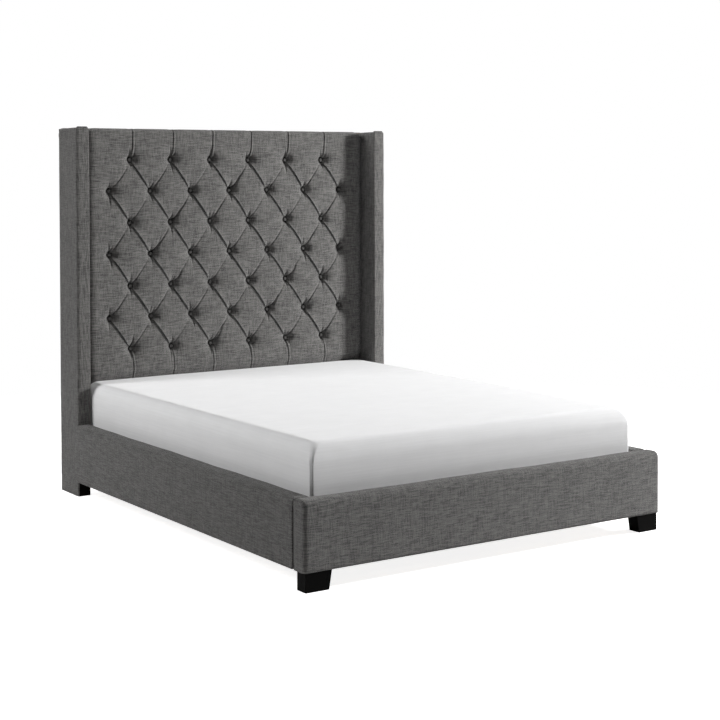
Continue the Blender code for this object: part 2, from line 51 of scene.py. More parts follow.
# Cloth and foam, in metres. The slub counts are yarns to the metre.
COVER_THICKNESS = 0.0042
SHEET_THICKNESS = 0.0014
THREAD = 0.0017
FINE_THREAD = 0.0009
WEFT_SLUBS = 290.0
WARP_SLUBS = 300.0
FINE_SLUBS = 520.0
INSET = 0.0006

# The diamond tufting. A line has its lowest point on one side of it and its raised lip on the other.
ROWS = 7
BUTTON_PITCH = 0.2085
BUTTON_RADIUS = 0.0095
PLEAT_REACH = 0.070
PLEAT_DROP = 0.0055
POCKET_DEPTH = 0.0440
POCKET_SPREAD = 0.0165
TOP_ROLL = 0.020
SIDE_ROLL = 0.066
SIDE_DROP = 0.045
WRINKLE_DEPTH = 0.0115
UPRIGHT_REACH = 0.050
Pleat = collections.namedtuple("Pleat", "step sharp spread low_side groove groove_width hang")
PLEATS = {
    "lapped": Pleat(0.0068, 0.0013, 0.020, 0.0008, 0.0014, 0.0020, 0.0062),
    "soft": Pleat(0.0022, 0.0036, 0.020, 0.0014, 0.0036, 0.0042, 0.0),
    "upright": Pleat(0.0036, 0.0016, 0.009, 0.0020, 0.0046, 0.0020, 0.0020),
}
# The wrinkles round a button: direction in degrees, length and strength.
WRINKLES = (
    (104, 0.060, 1.15),
    (86, 0.044, 0.8),
    (-95, 0.060, 1.1),
    (-74, 0.038, 0.6),
    (60, 0.036, 0.6),
    (22, 0.040, 0.5),
    (-22, 0.036, 0.5),
    (125, 0.026, 0.3),
)
LONG_WRINKLES = (9, 14, 20, 27, 30, 36, 41)
# How far from each kind of line the mesh has a row of points, in the order that they're laid.
ROWS_BESIDE = {
    "lapped": (
        *(0, -0.0011, 0.0011, -0.0024, 0.0024, -0.0038, 0.0038, -0.0055, 0.0055),
        *(0.008, -0.008, 0.0115, -0.0115, 0.016, -0.016),
    ),
    "upright": (
        *(0, -0.0011, 0.0011, 0.0024, -0.0024, 0.0038, -0.0038, 0.0055, -0.0055),
        *(0.007, -0.007, 0.0085, -0.0085, 0.010, -0.010, 0.014, -0.014),
    ),
    "soft": (0, -0.0013, 0.0013, -0.0027, 0.0027, -0.0045, 0.0045, -0.007, 0.007, 0.011, -0.011),
    "fan": (0, -0.0013, 0.0013, -0.0028, 0.0028, -0.005, 0.005),
}
RINGS_ROUND_BUTTON = (0.004, 0.0075, 0.0095, 0.0115, 0.014, 0.017, 0.021, 0.026, 0.032, 0.039)
ROWS_AT_EDGE = (0.0008, 0.0022, 0.0045, 0.0075, 0.011, 0.015, 0.020, 0.026, 0.033)


# Shader helpers.


def put(tree, kind, inputs=(), **settings):
    """A shader node with its settings and inputs. An input is a value or another node's output."""
    made = tree.nodes.new(kind)
    for key, value in settings.items():
        setattr(made, key, value)
    for key, value in dict(inputs).items():
        if isinstance(value, bpy.types.NodeSocket):
            tree.links.new(value, made.inputs[key])
        else:
            made.inputs[key].default_value = value
    return made


def calc(tree, operation, *values):
    made = put(tree, "ShaderNodeMath", enumerate(values), operation=operation)
    return made.outputs[0]


def stretch(tree, value, low, high, new_low=0.0, new_high=1.0):
    made = put(
        tree,
        "ShaderNodeMapRange",
        {0: value, 1: low, 2: high, 3: new_low, 4: new_high},
        clamp=True,
    )
    return made.outputs[0]


def blend_colours(tree, factor, first, second, how="MIX"):
    made = put(tree, "ShaderNodeMix", {0: factor}, data_type="RGBA", blend_type=how)
    for socket, value in ((6, first), (7, second)):
        if isinstance(value, bpy.types.NodeSocket):
            tree.links.new(value, made.inputs[socket])
        else:
            made.inputs[socket].default_value = (*value, 1.0)
    return made.outputs[2]


def place(tree, x, y, z=0.0):
    made = put(tree, "ShaderNodeCombineXYZ", {0: x, 1: y, 2: z})
    return made.outputs[0]


def speckle(tree, vector, scale, detail=2.0, roughness=0.5):
    made = put(
        tree,
        "ShaderNodeTexNoise",
        {"Vector": vector, "Scale": scale, "Detail": detail, "Roughness": roughness},
    )
    return made.outputs["Fac"]


def new_group(name, inputs, outputs):
    """A node group, with (name, kind, default) inputs and (name, kind) outputs."""
    tree = bpy.data.node_groups.new(name, "ShaderNodeTree")
    for label, kind, default in inputs:
        socket = tree.interface.new_socket(label, in_out="INPUT", socket_type=kind)
        if default is not None:
            socket.default_value = default
    for label, kind in outputs:
        tree.interface.new_socket(label, in_out="OUTPUT", socket_type=kind)
    return tree, tree.nodes.new("NodeGroupInput").outputs, tree.nodes.new("NodeGroupOutput").inputs


def use_group(tree, group, **inputs):
    made = tree.nodes.new("ShaderNodeGroup")
    made.node_tree = group
    for key, value in inputs.items():
        socket = made.inputs[key.replace("_", " ")]
        if isinstance(value, bpy.types.NodeSocket):
            tree.links.new(value, socket)
        elif socket.type == "RGBA":
            socket.default_value = (*value, 1.0)
        else:
            socket.default_value = value
    return made.outputs


def finish_group(tree, outputs, **values):
    for key, value in values.items():
        tree.links.new(value, outputs[key.replace("_", " ")])
    return tree


NUMBER = "NodeSocketFloat"
COLOUR = "NodeSocketColor"
VECTOR = "NodeSocketVector"
GREY = (0.5, 0.5, 0.5, 1.0)
DUST = (0.30, 0.29, 0.27)


def yarn_start(tree, across, count):
    """A different start for each of the yarns that lie side by side, so that their slubs don't line up."""
    yarn = calc(tree, "FLOOR", calc(tree, "MULTIPLY", across, count))
    chance = put(tree, "ShaderNodeTexWhiteNoise", {"W": yarn}, noise_dimensions="1D")
    return calc(tree, "MULTIPLY", chance.outputs["Value"], 50.0)


def slubbed_weave():
    """A plain weave of uneven yarns: thick and thin places run along the weft, fewer along the warp."""
    tree, given, result = new_group(
        "slubbed weave",
        [
            ("Cloth", VECTOR, None),
            ("Dark Yarn", COLOUR, GREY),
            ("Light Yarn", COLOUR, GREY),
            ("Slub", NUMBER, 1.0),
            ("Cross Slub", NUMBER, 0.6),
        ],
        [("Colour", COLOUR), ("Height", NUMBER), ("Fuzz", NUMBER)],
    )
    cloth = given["Cloth"]
    split = put(tree, "ShaderNodeSeparateXYZ", {0: cloth})
    across, along = split.outputs[0], split.outputs[1]
    wander = put(tree, "ShaderNodeTexNoise", {"Vector": cloth, "Scale": 45.0, "Detail": 1.0})
    parts = put(tree, "ShaderNodeSeparateColor", {0: wander.outputs["Color"]})
    shift_x = calc(tree, "MULTIPLY_ADD", parts.outputs[0], 0.0010, -0.0005)
    shift_y = calc(tree, "MULTIPLY_ADD", parts.outputs[1], 0.0010, -0.0005)
    x = calc(tree, "ADD", across, shift_x)
    y = calc(tree, "ADD", along, shift_y)
    wave_x = calc(tree, "SINE", calc(tree, "MULTIPLY", x, math.pi / THREAD))
    wave_y = calc(tree, "SINE", calc(tree, "MULTIPLY", y, math.pi / THREAD))
    crossing = calc(tree, "MULTIPLY", wave_x, wave_y)
    over = stretch(tree, crossing, -0.12, 0.12)
    warp = calc(tree, "ABSOLUTE", wave_x)
    weft = calc(tree, "ABSOLUTE", wave_y)
    lower = calc(tree, "MULTIPLY", warp, calc(tree, "SUBTRACT", 1.0, over))
    yarns = calc(tree, "MULTIPLY_ADD", weft, over, lower)
    weft_start = yarn_start(tree, y, WEFT_SLUBS)
    warp_start = yarn_start(tree, x, WARP_SLUBS)
    weft_x = calc(tree, "MULTIPLY_ADD", x, 21.0, weft_start)
    weft_slub = speckle(tree, place(tree, weft_x, calc(tree, "MULTIPLY", y, WEFT_SLUBS)), 1.0, 1.5, 0.55)
    fine_x = calc(tree, "MULTIPLY_ADD", x, 44.0, weft_start)
    fine_slub = speckle(tree, place(tree, fine_x, calc(tree, "MULTIPLY", y, FINE_SLUBS), 3.0), 1.0, 1.0)
    warp_y = calc(tree, "MULTIPLY_ADD", y, 22.0, warp_start)
    warp_slub = speckle(
        tree, place(tree, calc(tree, "MULTIPLY", x, WARP_SLUBS), warp_y, 9.0), 1.0, 1.5, 0.55
    )
    patch = speckle(tree, cloth, 7.0, 3.0)
    weft_tone = stretch(tree, weft_slub, 0.34, 0.66, -0.5, 0.5)
    fine_tone = stretch(tree, fine_slub, 0.25, 0.75, -0.5, 0.5)
    warp_tone = stretch(tree, warp_slub, 0.34, 0.66, -0.5, 0.5)
    tone = calc(tree, "MULTIPLY_ADD", weft_tone, given["Slub"], 0.5)
    tone = calc(tree, "MULTIPLY_ADD", fine_tone, calc(tree, "MULTIPLY", given["Slub"], 0.35), tone)
    tone = calc(tree, "MULTIPLY_ADD", warp_tone, given["Cross Slub"], tone)
    tone = calc(tree, "MULTIPLY_ADD", calc(tree, "SUBTRACT", patch, 0.5), 0.06, tone)
    # The yarn relief also darkens the colour where it is low, between the threads: painted shade in the
    # weave's hollows.
    tone = calc(tree, "MULTIPLY_ADD", calc(tree, "SUBTRACT", yarns, 0.64), 0.40, tone)
    tone = stretch(tree, tone, 0.0, 1.0)
    shade = blend_colours(tree, tone, given["Dark Yarn"], given["Light Yarn"])
    streaks = place(tree, across, calc(tree, "MULTIPLY", along, 9.0), 5.0)
    warm = stretch(tree, speckle(tree, streaks, 26.0), 0.4, 0.7)
    shade = blend_colours(tree, calc(tree, "MULTIPLY", warm, 0.30), shade, (1.0, 0.90, 0.84), "MULTIPLY")
    height = calc(tree, "MULTIPLY_ADD", weft_tone, 0.45, yarns)
    height = calc(tree, "MULTIPLY_ADD", warp_tone, 0.30, height)
    fuzz = stretch(tree, yarns, 0.0, 1.0, 1.0, 0.86)
    return finish_group(tree, result, Colour=shade, Height=height, Fuzz=fuzz)


def smooth_weave():
    """A fine close weave, with slight creases pulled in from handling."""
    tree, given, result = new_group(
        "fine sheeting",
        [("Cloth", VECTOR, None), ("Shade", COLOUR, GREY), ("Crease", NUMBER, 1.0)],
        [("Colour", COLOUR), ("Height", NUMBER)],
    )
    cloth = given["Cloth"]
    split = put(tree, "ShaderNodeSeparateXYZ", {0: cloth})
    pitch = math.pi / FINE_THREAD
    wave_x = calc(tree, "SINE", calc(tree, "MULTIPLY", split.outputs[0], pitch))
    wave_y = calc(tree, "SINE", calc(tree, "MULTIPLY", split.outputs[1], pitch))
    yarns = calc(tree, "MULTIPLY", wave_x, wave_y)
    streak = speckle(
        tree,
        place(
            tree,
            calc(tree, "MULTIPLY", split.outputs[0], 4.0),
            calc(tree, "MULTIPLY", split.outputs[1], 150.0),
        ),
        1.0,
    )
    crease_fold_and_shade = speckle(tree, cloth, 9.0, 4.0, 0.55)
    # The yarn relief tints the colour by under 1%, lower places darker: painted shade between the threads.
    tone = calc(tree, "MULTIPLY_ADD", yarns, 0.008, stretch(tree, streak, 0.3, 0.7, 0.955, 1.0))
    # The creases' low places are painted up to 3% darker: painted shade in the folds.
    tone = calc(tree, "MULTIPLY", tone, stretch(tree, crease_fold_and_shade, 0.3, 0.7, 0.97, 1.0))
    shade = blend_colours(tree, 1.0, given["Shade"], place(tree, tone, tone, tone), "MULTIPLY")
    height = calc(tree, "MULTIPLY_ADD", calc(tree, "MULTIPLY", crease_fold_and_shade, given["Crease"]), 5.0, yarns)
    return finish_group(tree, result, Colour=shade, Height=height)


def wood_grain():
    """Straight-sawn grain along the longest way of the board, with soft rings and pores."""
    tree, given, result = new_group(
        "sawn grain",
        [
            ("Place", VECTOR, None),
            ("Early Wood", COLOUR, GREY),
            ("Late Wood", COLOUR, GREY),
            ("Ring Scale", NUMBER, 60.0),
        ],
        [("Colour", COLOUR), ("Height", NUMBER), ("Dull", NUMBER)],
    )
    wander = put(tree, "ShaderNodeTexNoise", {"Vector": given["Place"], "Scale": 6.0, "Detail": 2.0})
    bent = put(
        tree,
        "ShaderNodeVectorMath",
        {0: wander.outputs["Color"], 1: (0.05, 0.05, 0.05), 2: given["Place"]},
        operation="MULTIPLY_ADD",
    ).outputs[0]
    rings = put(
        tree,
        "ShaderNodeTexWave",
        {
            "Vector": bent,
            "Scale": given["Ring Scale"],
            "Distortion": 2.5,
            "Detail": 2.0,
            "Detail Scale": 1.4,
        },
        wave_type="BANDS",
        bands_direction="DIAGONAL",
    ).outputs["Fac"]
    pores = speckle(tree, bent, 420.0, 2.0)
    stain = speckle(tree, given["Place"], 11.0, 3.0)
    bands = calc(tree, "MULTIPLY", rings, 0.6)
    tone = calc(tree, "MULTIPLY_ADD", stretch(tree, pores, 0.35, 0.65), 0.3, bands)
    tone = calc(tree, "MULTIPLY_ADD", calc(tree, "SUBTRACT", stain, 0.5), 0.5, tone)
    shade = blend_colours(tree, stretch(tree, tone, 0.0, 1.0), given["Early Wood"], given["Late Wood"])
    return finish_group(
        tree, result, Colour=shade, Height=tone, Dull=stretch(tree, tone, 0.0, 1.0, 0.62, 0.78)
    )


def edge_wear():
    """A mask of the sharp edges and a few rubbed spots, with dust low down."""
    tree, given, result = new_group(
        "edge wear",
        [("Place", VECTOR, None), ("Reach", NUMBER, 0.002)],
        [("Edge", NUMBER), ("Scuff", NUMBER), ("Dust", NUMBER)],
    )
    soft = put(tree, "ShaderNodeBevel", {"Radius": given["Reach"]}, samples=4)
    plain = put(tree, "ShaderNodeNewGeometry")
    facing = put(
        tree,
        "ShaderNodeVectorMath",
        {0: soft.outputs[0], 1: plain.outputs["Normal"]},
        operation="DOT_PRODUCT",
    ).outputs["Value"]
    spots = speckle(tree, given["Place"], 70.0, 4.0, 0.6)
    turned = calc(tree, "SUBTRACT", 1.0, facing)
    edge = stretch(tree, calc(tree, "MULTIPLY_ADD", turned, 4.0, spots), 0.75, 1.3)
    scratch = put(
        tree,
        "ShaderNodeTexNoise",
        {"Vector": given["Place"], "Scale": 34.0, "Detail": 6.0, "Roughness": 0.7, "Distortion": 1.2},
    ).outputs["Fac"]
    height = put(tree, "ShaderNodeSeparateXYZ", {0: given["Place"]}).outputs[2]
    low = stretch(tree, height, 0.0, 0.12, 1.0, 0.0)
    dust = calc(tree, "MULTIPLY", low, speckle(tree, given["Place"], 22.0, 4.0))
    return finish_group(tree, result, Edge=edge, Scuff=stretch(tree, scratch, 0.5, 0.72), Dust=dust)


SLUBBED = slubbed_weave()
SHEETING = smooth_weave()
GRAIN = wood_grain()
WEAR = edge_wear()


def start_material(name, **surface):
    """A material with its Principled surface, whose plain numbers are set on its own sockets."""
    material = bpy.data.materials.new(name)
    material.use_nodes = True
    tree = material.node_tree
    shader = tree.nodes["Principled BSDF"]
    for key, value in surface.items():
        shader.inputs[key.replace("_", " ")].default_value = value
    return material, tree, shader


def lay_over(tree, shader, colour=None, rough=None, height=None, distance=0.001, strength=0.5, metal=None):
    for key, value in (("Base Color", colour), ("Roughness", rough), ("Metallic", metal)):
        if value is not None:
            tree.links.new(value, shader.inputs[key])
    if height is not None:
        bump = put(tree, "ShaderNodeBump", {"Height": height, "Distance": distance, "Strength": strength})
        tree.links.new(bump.outputs[0], shader.inputs["Normal"])


def body_place(tree):
    return put(tree, "ShaderNodeTexCoord").outputs["Object"]


def cloth_place(tree):
    return put(tree, "ShaderNodeUVMap", uv_map="cloth").outputs[0]


def linen(name, dark, light, slub=0.84, cross=0.62):
    material, tree, shader = start_material(
        name, Sheen_Weight=0.25, Sheen_Roughness=0.6, Specular_IOR_Level=0.25
    )
    weave = use_group(
        tree, SLUBBED, Cloth=cloth_place(tree), Dark_Yarn=dark, Light_Yarn=light, Slub=slub, Cross_Slub=cross
    )
    lay_over(tree, shader, weave["Colour"], weave["Fuzz"], weave["Height"], 0.0011, 0.75)
    return material


def sheeting(name, shade, crease, distance):
    material, tree, shader = start_material(
        name, Sheen_Weight=0.15, Sheen_Roughness=0.5, Specular_IOR_Level=0.2, Roughness=0.92
    )
    weave = use_group(tree, SHEETING, Cloth=cloth_place(tree), Shade=shade, Crease=crease)
    lay_over(tree, shader, weave["Colour"], None, weave["Height"], distance, 0.5)
    return material


def wood(name, early, late, axis, ring_scale=60.0):
    """Sawn wood whose grain runs along the axis (0 is X, 1 is Y, 2 is Z)."""
    material, tree, shader = start_material(name, Specular_IOR_Level=0.35)
    where = body_place(tree)
    scale = [1.0, 1.0, 1.0]
    scale[axis] = 0.06
    long_way = put(
        tree, "ShaderNodeVectorMath", {0: where, 1: scale}, operation="MULTIPLY"
    ).outputs[0]
    grain = use_group(tree, GRAIN, Place=long_way, Early_Wood=early, Late_Wood=late, Ring_Scale=ring_scale)
    worn = use_group(tree, WEAR, Place=where, Reach=0.0025)
    shade = blend_colours(tree, calc(tree, "MULTIPLY", worn["Edge"], 0.35), grain["Colour"], late)
    lay_over(tree, shader, shade, grain["Dull"], grain["Height"], 0.0006, 0.5)
    return material


def black_stain(name):
    material, tree, shader = start_material(name, Specular_IOR_Level=0.04)
    where = body_place(tree)
    long_way = put(
        tree, "ShaderNodeVectorMath", {0: where, 1: (1.0, 1.0, 0.08)}, operation="MULTIPLY"
    ).outputs[0]
    grain = use_group(
        tree,
        GRAIN,
        Place=long_way,
        Early_Wood=(0.0008, 0.0008, 0.0009),
        Late_Wood=(0.0018, 0.0017, 0.0016),
        Ring_Scale=110.0,
    )
    worn = use_group(tree, WEAR, Place=where, Reach=0.0018)
    rubbed = calc(tree, "MULTIPLY", worn["Edge"], 0.20)
    shade = blend_colours(tree, rubbed, grain["Colour"], (0.02, 0.018, 0.016))
    shade = blend_colours(tree, calc(tree, "MULTIPLY", worn["Dust"], 0.012), shade, DUST)
    lay_over(
        tree, shader, shade, stretch(tree, worn["Scuff"], 0.0, 1.0, 0.38, 0.52), grain["Height"], 0.0004, 0.35
    )
    return material


def zinc_steel(name):
    material, tree, shader = start_material(name, Metallic=1.0)
    where = body_place(tree)
    worn = use_group(tree, WEAR, Place=where, Reach=0.001)
    flakes = put(tree, "ShaderNodeTexVoronoi", {"Vector": where, "Scale": 260.0}, feature="F1")
    tone = put(tree, "ShaderNodeSeparateColor", {0: flakes.outputs["Color"]}).outputs[0]
    shade = blend_colours(tree, tone, (0.34, 0.35, 0.36), (0.50, 0.51, 0.52))
    shade = blend_colours(tree, calc(tree, "MULTIPLY", worn["Edge"], 0.5), shade, (0.66, 0.66, 0.66))
    lay_over(
        tree, shader, shade, stretch(tree, worn["Scuff"], 0.0, 1.0, 0.34, 0.55), worn["Scuff"], 0.0002, 0.3
    )
    return material


def moulded_plastic(name):
    material, tree, shader = start_material(name, Specular_IOR_Level=0.5)
    where = body_place(tree)
    worn = use_group(tree, WEAR, Place=where, Reach=0.0012)
    pebbles = speckle(tree, where, 900.0, 2.0)
    rubbed = calc(tree, "MULTIPLY", worn["Edge"], 0.4)
    shade = blend_colours(tree, rubbed, (0.016, 0.016, 0.017), (0.07, 0.07, 0.07))
    shade = blend_colours(tree, calc(tree, "MULTIPLY", worn["Dust"], 0.12), shade, DUST)
    lay_over(tree, shader, shade, stretch(tree, pebbles, 0.3, 0.7, 0.42, 0.6), pebbles, 0.0003, 0.4)
    return material


DARK_YARN = (0.024, 0.0232, 0.0220)
LIGHT_YARN = (0.160, 0.1562, 0.150)
LINEN = linen("slubbed grey linen", DARK_YARN, LIGHT_YARN)
WING_LINEN = linen("slubbed grey linen, upright", DARK_YARN, LIGHT_YARN, 0.85, 0.55)
# The buttons' linen is the panel's linen painted darker: painted shade of the deep pockets the buttons sit
# in.
SHADED_BUTTON_LINEN = linen("button linen, painted shade", (0.026, 0.025, 0.024), (0.110, 0.1075, 0.103), 0.4, 0.3)
WHITE_SHEET = sheeting("white sheeting", (0.845, 0.845, 0.850), 0.30, 0.00012)
TICKING = sheeting("quilted ticking", (0.86, 0.85, 0.82), 1.0, 0.001)
BLACK_WOOD = black_stain("black stained beech")
STEEL = zinc_steel("zinc-plated steel")
PLASTIC = moulded_plastic("black moulded plastic")
PINE_PALE, PINE_RING = (0.66, 0.47, 0.28), (0.42, 0.25, 0.12)
PINE = [wood(f"pine sawn along {way}", PINE_PALE, PINE_RING, axis) for axis, way in enumerate("XYZ")]
PLYWOOD = wood("plywood", (0.56, 0.40, 0.24), (0.38, 0.24, 0.12), 2, 34.0)


# Mesh helpers.


def make_piece(name, points, faces, cloth=None, material=None):
    """A smooth-shaded mesh. cloth gives each vertex its place on the flat cloth, in metres."""
    mesh = bpy.data.meshes.new(name)
    mesh.from_pydata([tuple(p) for p in points], [], [tuple(f) for f in faces])
    mesh.update()
    if cloth is not None:
        layer = mesh.uv_layers.new(name="cloth")
        corners = np.empty(len(mesh.loops), np.int32)
        mesh.loops.foreach_get("vertex_index", corners)
        layer.uv.foreach_set("vector", np.asarray(cloth, np.float32)[corners].ravel())
    mesh.polygons.foreach_set("use_smooth", np.ones(len(mesh.polygons), bool))
    obj = bpy.data.objects.new(name, mesh)
    bpy.context.scene.collection.objects.link(obj)
    if material is not None:
        mesh.materials.append(material)
    return obj


def settle(obj, replaced):
    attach(obj, BODY)
    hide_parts(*replaced)


def ease(q):
    q = np.clip(q, 0.0, 1.0)
    return q * q * (3.0 - 2.0 * q)


def ripples(points, scale, amount, seed):
    """A slow unevenness for every point, as hand-stretched padding has."""
    shift = Vector((seed * 3.7, seed * 1.9, seed * 5.3))
    return np.array([amount * noise.noise(Vector(p) * scale + shift) for p in points])


# The tufted headboard panel.

pad_low, pad_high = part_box("tufted_pad")
HALF = pad_high.x - INSET
PAD_FRONT = pad_low.y + INSET
PAD_FLOOR = pad_low.z + 0.0004
PAD_TOP = pad_high.z
PAD_BACK_EDGE = pad_high.y - INSET
board_low, board_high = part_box("tufting_board")
PAD_REAR = board_low.y - INSET
PAD_REAR_TOP = board_high.z + 0.0008
sheet_low, sheet_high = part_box("fitted_sheet")
STEP_BACK = sheet_high.y + 0.0022 - PAD_FRONT

row_middles = [(sum(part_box(f"button_row_{row + 1}"), Vector()) / 2).z for row in range(ROWS)]
BUTTON_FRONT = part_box("button_row_1")[0].y


def row_buttons(row):
    """The row's button centres from left to right. Rows of six and seven take turns."""
    count = 7 if row % 2 else 6
    return [(i - (count - 1) / 2) * BUTTON_PITCH for i in range(count)]


BUTTONS = [(x, row_middles[row], row) for row in range(ROWS) for x in row_buttons(row)]
FRONT_LENGTH = PAD_TOP - TOP_ROLL - PAD_FLOOR
ROLL_LENGTH = TOP_ROLL * math.pi / 2
TOP_LENGTH = PAD_BACK_EDGE - PAD_FRONT - TOP_ROLL
CLOTH_LENGTH = FRONT_LENGTH + ROLL_LENGTH + TOP_LENGTH


def base_surface(t):
    """Points (y, z) and outward normals of the panel's plain profile, from the bottom up and over the top."""
    t = np.asarray(t, float)
    z = PAD_FLOOR + np.minimum(t, FRONT_LENGTH)
    y = PAD_FRONT + STEP_BACK * (1 - ease((z - 0.500) / 0.050))
    angle = np.clip((t - FRONT_LENGTH) / TOP_ROLL, 0, math.pi / 2)
    turned = t > FRONT_LENGTH
    over = np.maximum(t - FRONT_LENGTH - ROLL_LENGTH, 0)
    y = np.where(turned, PAD_FRONT + TOP_ROLL * (1 - np.cos(angle)) + over, y)
    z = np.where(turned, PAD_TOP - TOP_ROLL * (1 - np.sin(angle)), z)
    normal_y = np.where(turned, -np.cos(angle), -1.0)
    normal_z = np.where(turned, np.sin(angle), 0.0)
    return y, z, normal_y, normal_z


def along_line(start, end, points):
    """Each point's share of the way along, its signed distance from the line and its distance past an end.

    The line's length comes last.
    """
    direction = np.subtract(end, start)
    length = float(np.hypot(*direction))
    direction = direction / length
    off = points - start
    along = off @ direction
    across = off[:, 0] * -direction[1] + off[:, 1] * direction[0]
    past = np.maximum(np.maximum(-along, along - length), 0)
    return along / length, across, past, length


def tufting_lines(draw):
    """Every pleat and wrinkle as (kind, start, end, strength, bow)."""
    lines = []
    for x, z, row in BUTTONS:
        t = z - PAD_FLOOR
        if row + 1 < ROWS:
            below = row_middles[row + 1] - PAD_FLOOR
            for x_below in row_buttons(row + 1):
                if abs(abs(x_below - x) - BUTTON_PITCH / 2) > 0.001:
                    continue
                if x_below > x:
                    strength, bow = draw.uniform(0.85, 1.15), draw.gauss(0, 0.0015)
                    lines.append(("lapped", (x, t), (x_below, below), strength, bow))
                else:
                    strength, bow = draw.uniform(0.5, 1.25), draw.gauss(0.002, 0.003)
                    lines.append(("soft", (x_below, below), (x, t), strength, bow))
        if row == 0:
            over_top = (x + 0.007, CLOTH_LENGTH + 0.05)
            strength, bow = draw.uniform(0.8, 1.1), draw.gauss(0, 0.001)
            lines.append(("upright", (x + 0.004, t + 0.004), over_top, strength, bow))
        if row == ROWS - 1:
            strength, bow = draw.uniform(0.55, 0.8), draw.gauss(0, 0.001)
            lines.append(("upright", (x + 0.002, t - 0.004), (x + 0.009, -0.05), strength, bow))
        fans = list(WRINKLES)
        if abs(x) > BUTTON_PITCH * 2.9:
            fans.append((180 if x < 0 else 0, 0.065, 0.25))
            fans.append((205 if x < 0 else -25, 0.050, 0.25))
        for angle, reach, strength in fans:
            angle = math.radians(angle + draw.gauss(0, 6))
            reach *= draw.uniform(0.75, 1.3)
            end = (x + reach * math.cos(angle), t + reach * math.sin(angle))
            start = (x + 0.007 * math.cos(angle), t + 0.007 * math.sin(angle))
            lines.append(("fan", start, end, strength * draw.uniform(0.6, 1.2), draw.gauss(0, 0.002)))
    for number in LONG_WRINKLES:
        x, z, _ = BUTTONS[number]
        t = z - PAD_FLOOR
        end = (x + draw.uniform(0.035, 0.050), t + draw.uniform(0.075, 0.100))
        lines.append(("fan", (x + 0.010, t + 0.012), end, 1.1, -0.009))
    return lines


def tufting_depth(points, lines):
    """How far the cloth sinks behind the panel's front at each point, and how far it is drawn sideways."""
    broad = np.zeros(len(points))
    fine = np.zeros(len(points))
    pull = np.zeros((len(points), 2))
    power = 3.0
    for kind, start, end, strength, bow in lines:
        margin = PLEAT_REACH + 0.005
        low = np.minimum(start, end) - margin
        high = np.maximum(start, end) + margin
        near = np.flatnonzero(((points > low) & (points < high)).all(1))
        if not len(near):
            continue
        share, across, past, length = along_line(np.array(start), np.array(end), points[near])
        clipped = np.clip(share, 0, 1)
        across = across - bow * 4 * clipped * (1 - clipped)
        away = np.hypot(across, past)
        fade = np.clip(1 - past / 0.006, 0, 1)
        if kind == "fan":
            weight = strength * (1 - clipped) ** 1.1 * fade
            width = 0.0060 - 0.0040 * clipped
            fine[near] += WRINKLE_DEPTH * weight * np.exp(-((across / width) ** 2))
            continue
        pleat = PLEATS[kind]
        sag = np.clip(1 - away / PLEAT_REACH, 0, 1) ** 2.2
        if kind == "lapped":
            to_right = across
            flatter = 1 - 0.45 * ease((to_right + 0.0014) / 0.0028)
            broad[near] += (PLEAT_DROP * flatter * sag) ** power
            ends = np.clip(np.minimum(clipped, 1 - clipped) * length / 0.020, 0, 1)
            lip = strength * fade * ease(ends + 0.25)
        elif kind == "soft":
            to_right = -across
            broad[near] += (PLEAT_DROP * 0.8 * sag) ** power
            lip = strength * fade * (0.62 + 0.38 * (1 - clipped) ** 1.3)
        else:
            to_right = across if end[1] < start[1] else -across
            fall = 0.70 + 0.30 * np.exp(-clipped * length / 0.05)
            sag = np.clip(1 - away / UPRIGHT_REACH, 0, 1) ** 2.2
            broad[near] += (PLEAT_DROP * 0.8 * fall * sag) ** power
            lip = strength * fade * (0.5 + 0.5 * fall)
            fine[near] += 0.0034 * lip * np.exp(-(((to_right - 0.0105) / 0.0024) ** 2))
        raised = ease((to_right + pleat.sharp) / (2 * pleat.sharp))
        beyond = np.maximum(to_right, 0)
        fall_away = 0.45 * np.exp(-beyond / 0.0048) + 0.55 * np.exp(-beyond / pleat.spread)
        fine[near] -= pleat.step * lip * raised * fall_away
        fine[near] += pleat.low_side * lip * (1 - raised) * np.exp(np.minimum(to_right, 0) / 0.012)
        fine[near] += pleat.groove * lip * np.exp(-(((to_right + 0.0008) / pleat.groove_width) ** 2))
        if pleat.hang:
            slide = np.clip(1 - np.abs(to_right - 0.0015) / 0.017, 0, 1)
            slide = np.where(to_right > -pleat.sharp / 2, slide, 0)
            run, rise = np.subtract(end, start) / length
            toward = np.array((rise, -run)) if rise < 0 else np.array((-rise, run))
            pull[near] += (pleat.hang * lip * ease(slide))[:, None] * toward
    from_buttons = [np.hypot(points[:, 0] - x, points[:, 1] - (z - PAD_FLOOR)) for x, z, _ in BUTTONS]
    for away in from_buttons:
        past_rim = np.maximum(away - BUTTON_RADIUS, 0)
        pocket = POCKET_DEPTH * np.exp(-past_rim / (POCKET_SPREAD + 0.12 * away))
        broad += pocket**power
    deep = broad ** (1 / power)
    for away in from_buttons:
        quiet = ease((away - 0.009) / 0.010)
        fine *= 0.15 + 0.85 * quiet
        pull *= quiet[:, None]
    side = np.clip(1 - (HALF - np.abs(points[:, 0])) / SIDE_ROLL, 0, 1)
    rolled = SIDE_DROP * side**2
    return deep + fine + rolled, pull


